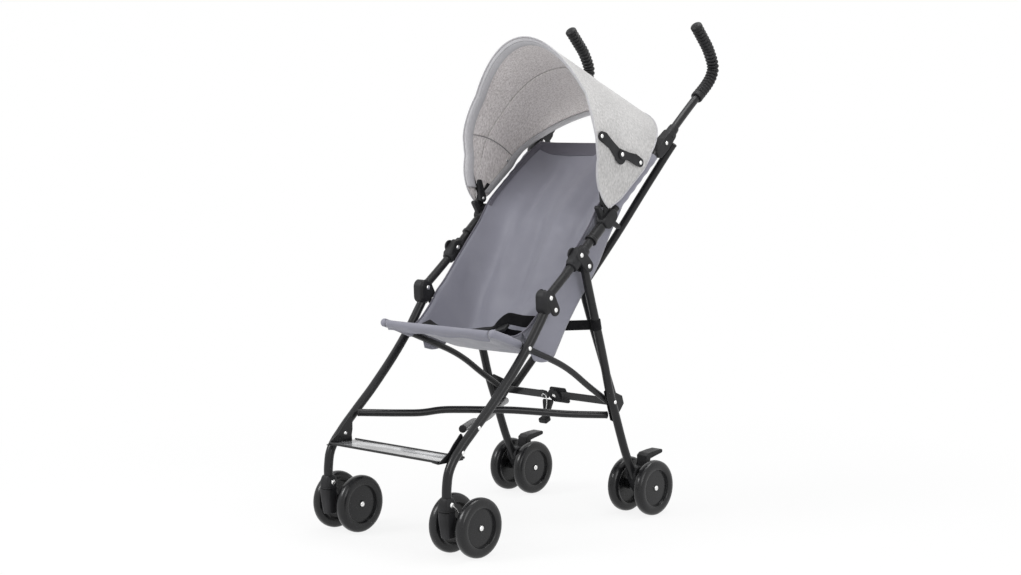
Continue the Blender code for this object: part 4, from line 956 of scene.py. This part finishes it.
def sling(u, v):
    """A point of the sling: u from -1 to 1 across, v from 0 at the front edge to 1 at the top."""
    hem, deep = through(HEM_LINE, v), through(DEEP_LINE, v)
    half = 0.1555 + 0.0095 * min(1.0, max(0.0, (v * 16 - 4) / 4))
    wall = min(1.0, max(0.0, (abs(u) - 0.62) / 0.38)) ** 2.1
    soft = 0.004 * math.sin(math.pi * min(1.0, max(0.0, v))) * math.cos(u * math.pi / 2)
    return Vector((half * u, deep.y + (hem.y - deep.y) * wall + soft * 0.6 + AXLE_Y,
                   deep.z + (hem.z - deep.z) * wall - soft * 0.8))


def fold_depth(u, v):
    """How far the cloth stands out of the plain sling, in metres: its soft drawn folds."""
    deep = 0.0
    for u0, v0, u1, v1, wide, tall in (
            (0.95, 0.66, -0.10, 0.44, 0.110, 0.0105), (0.85, 0.54, -0.35, 0.38, 0.080, -0.0090),
            (-0.80, 0.92, -0.30, 0.48, 0.110, 0.0090), (-0.35, 0.95, -0.05, 0.56, 0.080, -0.0075),
            (0.15, 0.96, 0.10, 0.62, 0.090, 0.0080), (0.55, 0.95, 0.50, 0.66, 0.070, -0.0080),
            (-0.92, 0.62, -0.50, 0.44, 0.080, -0.0070), (0.30, 0.50, -0.55, 0.40, 0.055, 0.0060),
            (-0.55, 0.95, -0.50, 0.70, 0.050, -0.0050), (0.80, 0.90, 0.75, 0.72, 0.055, 0.0060)):
        span = Vector((u1 - u0, (v1 - v0) * 3))
        off = Vector((u - u0, (v - v0) * 3))
        t = min(1.0, max(0.0, off.dot(span) / span.length_squared))
        gap = (off - span * t).length
        along = math.sin(math.pi * (0.15 + 0.7 * t))
        deep += tall * math.exp(-(gap / wide) ** 2 / 2 * 0.8) * along
    edge = min(1.0, (1 - abs(u)) / 0.12) * min(1.0, (1 - v) / 0.08) * min(1.0, v / 0.30)
    return deep * max(0.0, edge)


def sling_normal(u, v):
    """The way the sling faces, up and to the front."""
    du = sling(min(1, u + 0.01), v) - sling(max(-1, u - 0.01), v)
    dv = sling(u, min(1, v + 0.004)) - sling(u, max(0, v - 0.004))
    return du.cross(dv).normalized()


def cloth_grid(name, columns, rows, at_uv, coats, thickness, offset=0.0):
    """A woven piece, linked: a flat grid laid on a surface, with its weave's own UV map."""
    shape = bmesh.new()
    shape.loops.layers.uv.new("weave")
    made = bmesh.ops.create_grid(shape, x_segments=columns, y_segments=rows, size=0.5,
                                 calc_uvs=True)
    for v in made["verts"]:
        v.co = at_uv(v.co.x * 2, v.co.y + 0.5)
    for face in shape.faces:
        face.smooth = True
    piece = bpy.data.objects.new(name, bpy.data.meshes.new(name))
    shape.to_mesh(piece.data)
    shape.free()
    for coat in coats:
        piece.data.materials.append(coat)
    thick = piece.modifiers.new("thickness", "SOLIDIFY")
    thick.thickness = thickness
    thick.offset = offset
    thick.material_offset = len(coats) - 1
    settle(piece)
    return piece


def weave(tree, coords, shader, across, along, strength, twill=False):
    """Threads of a woven cloth as a bump on the piece's own UV map."""
    mapping = tree.nodes.new("ShaderNodeMapping")
    mapping.inputs["Scale"].default_value = (across, along, 1.0)
    tree.links.new(coords.outputs["UV"], mapping.inputs["Vector"])
    waves = []
    for way, scale in zip(("DIAGONAL", "DIAGONAL") if twill else ("X", "Y"), (1.0, 0.5)):
        wave = tree.nodes.new("ShaderNodeTexWave")
        wave.bands_direction = way
        wave.inputs["Scale"].default_value = scale
        wave.inputs["Distortion"].default_value = 0.6
        tree.links.new(mapping.outputs[0], wave.inputs["Vector"])
        waves.append(wave.outputs["Fac"])
    return bump(tree, shader, combine(tree, "MULTIPLY", *waves), strength, 0.0004)


def satin(name, low, high):
    """Satin-faced polyester in one shade."""
    made, tree, shader, coords = finish(
        name, high, 0.55,
        {"Sheen Weight": 0.35, "Sheen Roughness": 0.4, "Specular IOR Level": 0.35},
        None, (30.0, 0.42, 0.58))
    wander(tree, coords, 5.0, low, high, shader.inputs["Base Color"], 4.0)
    threads = weave(tree, coords, shader, 420.0, 900.0, 0.25, True)
    crumple = wander(tree, coords, 16.0, 0.0, 1.0, None, 3.0)
    bump(tree, shader, crumple.outputs[0], 0.20, 0.004, threads)
    return made


SEAT_SATIN = satin("seat_satin", (0.205, 0.205, 0.245), (0.235, 0.236, 0.280))
HEM_SATIN = satin("hem_satin", (0.085, 0.082, 0.105), (0.110, 0.106, 0.132))

seat = cloth_grid("sling_cloth", 96, 160,
                  lambda u, v: sling(u, v) + sling_normal(u, v) * (0.0014 + fold_depth(u, v)),
                  [SEAT_SATIN], 0.0012)
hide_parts("seat")
apron = cloth_grid("sling_front_roll", 72, 14,
                   lambda u, v: sling(u * 0.985, 0.0) + Vector((
                       0, -0.0035 * math.sin(math.pi * min(1, v * 1.2)) + 0.006 * v * v,
                       0.0018 - 0.0230 * v - 0.0015 * math.sin(u * 9) * v)),
                   [SEAT_SATIN], 0.0012)
top_hem = cloth_grid("sling_top_hem", 72, 10,
                     lambda u, v: sling(u * 0.995, 0.965 + 0.034 * v)
                     + sling_normal(u * 0.995, min(0.995, 0.965 + 0.034 * v)) * 0.0026,
                     [HEM_SATIN], 0.0012)
rolls = []
for side, hand in SIDES:
    line = [at(side, RAIL_X, *p) for p in RAIL[:3]]
    line[0].y -= 0.0045
    sheath = turned("rail_sheath_" + hand, [through(line, i / 30) for i in range(31)],
                    [0.0030, 0.0076] + [0.0092] * 29, SEAT_SATIN, 32)
    place_piece(sheath, "seat_rail_" + hand)
    sleeve = stepped("tube_sleeve_" + hand, at(side, UPPER_X, -0.0980, 0.6990),
                     at(side, UPPER_X, 0.0330, 0.8080), [i / 40 for i in range(41)],
                     [0.0108 + 0.0006 * math.sin(i * 0.9) * (0 < i < 40) for i in range(41)],
                     SEAT_SATIN, 36)
    place_piece(sleeve, "upper_" + hand)
    line = [sling(side, i / 48) + Vector((0, 0, 0.0012)) for i in range(49)]
    rolls.append(mesh_tube("sling_side_hem_" + hand, line, 0.0022, HEM_SATIN))
WING_EDGE = [at(1, 0, y, z) for y, z in
             ((-0.3440, 0.3800), (-0.3160, 0.3740), (-0.2840, 0.3790), (-0.2640, 0.4020),
              (-0.2342, 0.4487), (-0.1954, 0.4995), (-0.1580, 0.5400), (-0.1250, 0.5805),
              (-0.0880, 0.6410), (-0.0520, 0.6950), (-0.0060, 0.7700))]
bands, wings = [], []
for side, hand in SIDES:
    def side_band(u, v):
        """The dark facing along the side hem; it widens towards the top."""
        along = 0.80 + 0.185 * v
        inward = 0.995 - (0.025 + 0.075 * v ** 4) * (1 - u) / 2
        return sling(side * inward, along) + sling_normal(side * inward, along) * 0.0034

    def side_wing(u, v):
        """The side wing that hangs inside the tube, from the hip up to the top hem."""
        drawn = (u + 1) / 2
        hem = sling(side, 0.315 + 0.670 * v) + Vector((side * 0.001, 0, -0.002))
        edge = through(WING_EDGE, v) + Vector((side * (0.1650 + 0.0012 * math.sin(v * 15)), 0, 0))
        belly = Vector((-side * 0.004, 0, 0)) * math.sin(math.pi * drawn)
        return hem.lerp(edge, drawn) + belly * (0.4 + math.sin(v * 9) ** 2)

    bands.append(cloth_grid("sling_side_band_" + hand, 10, 60, side_band, [HEM_SATIN], 0.0010))
    wings.append(cloth_grid("sling_side_wing_" + hand, 12, 72, side_wing, [SEAT_SATIN], 0.0012))
for piece in [seat, apron, top_hem] + bands + wings + rolls:
    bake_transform(piece)


# Harness: black polypropylene webbing with a crosswise rib. A lap strap with a plastic buckle
# half lies across the pan, its loose half is folded down below it, and short straps with a band
# round each rear leg tie the sling back.
WEBBING, tree, shader, coords = finish(
    "ribbed_webbing", (0.006, 0.006, 0.007), 0.75,
    {"Specular IOR Level": 0.12, "Sheen Weight": 0.04},
    (60.0, (0.003, 0.003, 0.004), (0.009, 0.009, 0.010)))
weave(tree, coords, shader, 60.0, 700.0, 0.5)
LAP_LINE = [at(1, *p) for p in
            ((0.1510, -0.3160, 0.4600), (0.1250, -0.3330, 0.4610), (0.1020, -0.3480, 0.4660),
             (0.0900, -0.3540, 0.4620), (0.0740, -0.3600, 0.4520), (0.0600, -0.3640, 0.4440),
             (0.0350, -0.3760, 0.4400), (0.0000, -0.3840, 0.4340), (-0.0500, -0.3740, 0.4300),
             (-0.1050, -0.3640, 0.4300), (-0.1480, -0.3560, 0.4420))]
LOOP_LINE = [at(1, *p) for p in
             ((0.1490, -0.3220, 0.4360), (0.1250, -0.3380, 0.4330), (0.1000, -0.3500, 0.4370),
              (0.0780, -0.3560, 0.4430))]
LAP_TURN = 0.066
STRAP_WIDTH = 0.026


def lap(u, v):
    """The lap strap: it stands on edge near one hem and lies flat on the pan beyond the middle."""
    spot = through(LAP_LINE, (1 - u) / 2)
    upright = 0.5 + 0.5 * math.tanh((spot.x - LAP_TURN) * 110)
    across = Vector((0, 0.9 * (1 - upright), 0.22 + 0.78 * upright)).normalized()
    wide = STRAP_WIDTH - 0.012 * math.exp(-((spot.x - LAP_TURN) / 0.016) ** 2)
    return spot + across * wide * (v - 0.5)


def loop_lap(u, v):
    """The loose half of the strap, folded down on the pan below the first."""
    return (through(LOOP_LINE, (1 - u) / 2) + Vector((0, -0.35, 0.94)) * 0.017 * (v - 0.5)
            + Vector((0, 0.0020 * math.sin(u * 9), 0)))


loop = cloth_grid("lap_strap_loose_half", 48, 8, loop_lap, [WEBBING], 0.0014)
buckle = rounded_box("lap_strap_buckle", Matrix.Translation(at(1, 0.088, -0.362, 0.4440))
                     @ Matrix.Rotation(math.radians(-18), 4, "Y")
                     @ Matrix.Rotation(math.radians(30), 4, "X"),
                     (0.034, 0.022, 0.0075), 0.0026, 4, BLACK_PLUG)
place_piece(buckle, "seat_right")
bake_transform(loop)
strap = cloth_grid("lap_strap", 96, 10, lap, [WEBBING], 0.0014)
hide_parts("waist_strap")
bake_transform(strap)
for side, hand in SIDES:
    near, far = at(side, 0.1850, -0.1580, 0.4440), at(side, 0.1080, -0.2290, 0.4405)
    tie = cloth_grid("leg_tie_strap_" + hand, 24, 6,
                     lambda u, v: near.lerp(far, (u + 1) / 2)
                     + Vector((0, 0, 1)) * 0.022 * (v - 0.5)
                     + Vector((side * 0.7, 0.7, 0)) * 0.0015 * math.sin((u + 1) * 2.6),
                     [WEBBING], 0.0016)
    place_piece(tie, "rear_" + hand)
    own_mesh(tie)
    band = stepped("leg_tie_band_" + hand, at(side, 0.1853, -0.1600, 0.4330),
                   at(side, 0.1855, -0.1655, 0.4560), (0.0, 0.04, 0.96, 1.0),
                   (0.0102, 0.0116, 0.0116, 0.0102), WEBBING)
    place_piece(band, "rear_" + hand)


# Canopy: two panels of light flecked polyester with a warm lining, sewn together over the crown,
# with a folded channel for the front bow, corded edges and a stave in each rear corner. The
# lining's colour is painted far paler than the cloth: painted light for light shining through it.
HALF = 0.2000
SIDE_TOP = 0.150
STRAIGHT = 0.34
BACK_SHARE = 0.602
FRONT_ARCH, REAR_ARCH = (0.3690, 1.30, 0.50, -9.4), (0.3540, 1.70, 0.45, 54.6)


def arch(w, shape, lift, base):
    """Half width and reach from the clamp of a bow's arch, w from 1 at the clamp to 0."""
    crown, bend, shoulder = shape[:3]
    s = 1 - abs(w)
    if s < STRAIGHT:
        return HALF + lift, base + (SIDE_TOP - base) * s / STRAIGHT
    rise = math.sin(math.pi / 2 * (s - STRAIGHT) / (1 - STRAIGHT))
    return ((HALF + lift) * max(0.0, 1 - rise ** bend) ** shoulder,
            SIDE_TOP + (crown + lift - SIDE_TOP) * rise)


def canopy(w, share, lift=0.0, lean=-22.0, base=0.004, drop=0.012):
    """A point of the cloth, stretched from the front bow (share 0) to the rear hem (1)."""
    ends = []
    for shape, tip in ((FRONT_ARCH, lean), (REAR_ARCH, 0.0)):
        x, reach = arch(w, shape, lift, base)
        a = math.radians(shape[3] + tip * (max(0.0, 1 - reach / 0.24)
                                           + 1.4 * max(0.0, 1 - reach / 0.11)))
        low = drop * max(0.0, 1 - reach / SIDE_TOP)
        ends.append(Vector((math.copysign(x, w), CLAMP[0] + AXLE_Y + reach * math.sin(a),
                            CLAMP[1] + reach * math.cos(a) - low)))
    return ends[0].lerp(ends[1], share)


def breadth(w, wide):
    """The share of the way across the cloth that a width in metres takes at w."""
    return min(0.45, wide / max(0.02, (canopy(w, 1.0) - canopy(w, 0.0)).length))


def melange(name, low, high, fleck):
    """Light flecked cloth: pale and dark fibres spun together."""
    made, tree, shader, coords = finish(name, high, 0.85,
                                        {"Sheen Weight": 0.3, "Sheen Roughness": 0.5})
    ground = wander(tree, coords, 6.0, low, high, shader.inputs["Base Color"])
    fine = wander(tree, coords, 300.0, 0.0, 1.0, None, 3.0, (1.0, 1.0, 0.5))
    mix = tree.nodes.new("ShaderNodeMix")
    mix.data_type = "RGBA"
    mix.blend_type = "MULTIPLY"
    mix.inputs[7].default_value = (*fleck, 1.0)
    tree.links.new(ground.outputs[2], mix.inputs[6])
    tree.links.new(fine.outputs[0], mix.inputs["Factor"])
    tree.links.new(mix.outputs[2], shader.inputs["Base Color"])
    threads = weave(tree, coords, shader, 700.0, 500.0, 0.35)
    bump(tree, shader, fine.outputs[0], 0.25, 0.0008, threads)
    return made


CANOPY_OUT = melange("canopy_melange", (0.52, 0.512, 0.508), (0.66, 0.65, 0.645),
                     (0.66, 0.66, 0.66))
# Painted light: the lining's colour is set much paler than the outer cloth's. It stands in for
# light shining through the thin canopy.
CANOPY_LINING_PAINTED_LIGHT = melange("canopy_lining_painted_light", (0.80, 0.765, 0.755), (0.88, 0.845, 0.835),
                    (0.62, 0.60, 0.595))
CANOPY_BAND = melange("canopy_binding", (0.47, 0.465, 0.485), (0.54, 0.535, 0.555),
                      (0.86, 0.86, 0.86))
# Painted shade: a dark flecked colour for the cords that mark a crease in the canopy cloth.
CANOPY_CREASE_SHADE = melange("canopy_crease_shade", (0.26, 0.25, 0.25), (0.34, 0.33, 0.33), (0.85, 0.85, 0.85))


def front_panel(w, v):
    """The front panel, v from 0 at the front bow to 1 just past the crown seam."""
    return canopy(w, 0.402 * v, 0.0006)


def rear_panel(w, v, lift=0.0):
    """The rear panel, v from 0 just before the crown seam to 1 at the rear hem."""
    s = 1 - abs(w)
    skirt = breadth(w, 0.013) * min(1.0, max(0.0, (0.42 - s) / 0.12)) * min(1.0, s / 0.06)
    return canopy(w, 0.398 + (BACK_SHARE + skirt) * v, -0.0012 + lift)


def rear_fold(w, v):
    """The folded channel along the rear hem."""
    share = 1 - 0.001 - breadth(0.93 * w, 0.020) * v / BACK_SHARE
    return rear_panel(0.93 * w, share, -0.0024 - 0.0022 * math.sin(math.pi * v))


canopy_front = cloth_grid("canopy_front_cloth", 150, 36, front_panel, [CANOPY_OUT, CANOPY_LINING_PAINTED_LIGHT],
                          0.0010, -1.0)
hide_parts("canopy_front")
canopy_rear = cloth_grid("canopy_rear_cloth", 150, 40, rear_panel, [CANOPY_OUT, CANOPY_LINING_PAINTED_LIGHT],
                         0.0010, -1.0)
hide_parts("canopy_rear")
front_band = cloth_grid("canopy_front_channel", 150, 8,
                        lambda w, v: canopy(0.895 * w, 0.001 + breadth(0.895 * w, 0.029) * v,
                                            -0.0016 - 0.0080 * math.sin(math.pi * v) ** 0.6),
                        [CANOPY_BAND], 0.0008)
rear_band = cloth_grid("canopy_rear_channel", 150, 6, rear_fold, [CANOPY_BAND], 0.0008)
front_cord = mesh_tube("canopy_front_piping", [front_panel(-1 + i / 48, 0.0) for i in range(97)],
                       0.0017, CANOPY_BAND)
rear_cord = mesh_tube("canopy_rear_piping", [rear_panel(-1 + i / 48, 1.0) for i in range(97)],
                      0.0019, CANOPY_BAND)
bow = cloth_grid("canopy_front_bow", 150, 4,
                 lambda w, v: canopy(w, breadth(w, 0.0045 + 0.0085 * v), -0.0058, -14.0, 0.014,
                                     0.0), [BLACK_PLUG], 0.0020)
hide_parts("front_bow")
# Painted shade: thin dark cords laid along the cloth's inner face where it creases. They stand in
# for the shade in the crease.
crease_shades = {"front": [], "rear": []}
for side, hand in SIDES:
    for part, first, last in (("front", 0.07, 0.395), ("rear", 0.405, 0.93)):
        shares = [first + (last - first) * i / 12 for i in range(13)]
        line = [canopy(side * (0.650 - 0.035 * math.sin(math.pi * share)), share, -0.0030)
                for share in shares]
        crease_shades[part].append(mesh_tube("canopy_tuck_%s_%s" % (part, hand), line, 0.0011,
                                     CANOPY_CREASE_SHADE))
    stave = cloth_grid("canopy_rear_stave_" + hand, 24, 4,
                       lambda u, v: canopy(side * (0.965 - 0.055 * u), 0.90 - 0.16 * v, -0.0062,
                                           0.0, 0.014, 0.0), [BLACK_PLUG], 0.0020)
    place_piece(stave, "upper_" + hand)
for piece in [canopy_front, front_band, front_cord, bow] + crease_shades["front"]:
    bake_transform(piece)
for piece in [canopy_rear, rear_band, rear_cord] + crease_shades["rear"]:
    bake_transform(piece)


# Canopy stays: on each side two flat black nylon links with wide rounded ends, riveted to the
# cloth in front and behind and to each other in the middle, so that they break when it folds.
STAY_A, STAY_B, STAY_C = (-0.1662, 0.8566), (-0.0992, 0.8160), (-0.0353, 0.7968)
STAY_THICK = 0.0024
LINER_X = 0.1955
for side, hand in SIDES:
    first, second = 0.2015, 0.2042
    for link, x, parts in (
            ("front", first, ((*STAY_A, 0.0108, -0.1560, 0.8525, 0.0124),
                              (-0.1560, 0.8525, 0.0120, -0.1340, 0.8375, 0.0100),
                              (-0.1340, 0.8375, 0.0100, -0.1120, 0.8180, 0.0130),
                              (-0.1080, 0.8150, 0.0150, -0.1000, 0.8105, 0.0168))),
            ("rear", second, ((*STAY_C, 0.0100, -0.0540, 0.8045, 0.0120),
                              (-0.0540, 0.8045, 0.0116, -0.0760, 0.8110, 0.0092),
                              (-0.0760, 0.8110, 0.0092, *STAY_B, 0.0104)))):
        body = "stay_%s_%s" % (link, hand)
        for i, part in enumerate(parts):
            thin = 0.0002 * i
            lobe = moulded("stay_%s_lobe_%d_%s" % (link, i + 1, hand), side, x + thin,
                           x + STAY_THICK - thin, [part[:3], part[3:]], 0.0006)
            place_piece(lobe, body, [body] if i == 0 else ())
    for name, heads, body in (
            ("stay_front_rivets_", [(1, first + 0.0022, *STAY_A, 0.0046)], "stay_front_"),
            ("stay_rear_rivets_", [(1, second + 0.0022, *STAY_B, 0.0050),
                                   (1, second + 0.0022, *STAY_C, 0.0046)], "stay_rear_"),
            ("canopy_inner_rivet_front_", [(-1, LINER_X, *STAY_A, 0.0044)], "canopy_"),
            ("canopy_inner_rivet_rear_", [(-1, LINER_X, *STAY_C, 0.0044)], "upper_")):
        side_rivets(name + hand, side, heads, body + hand)
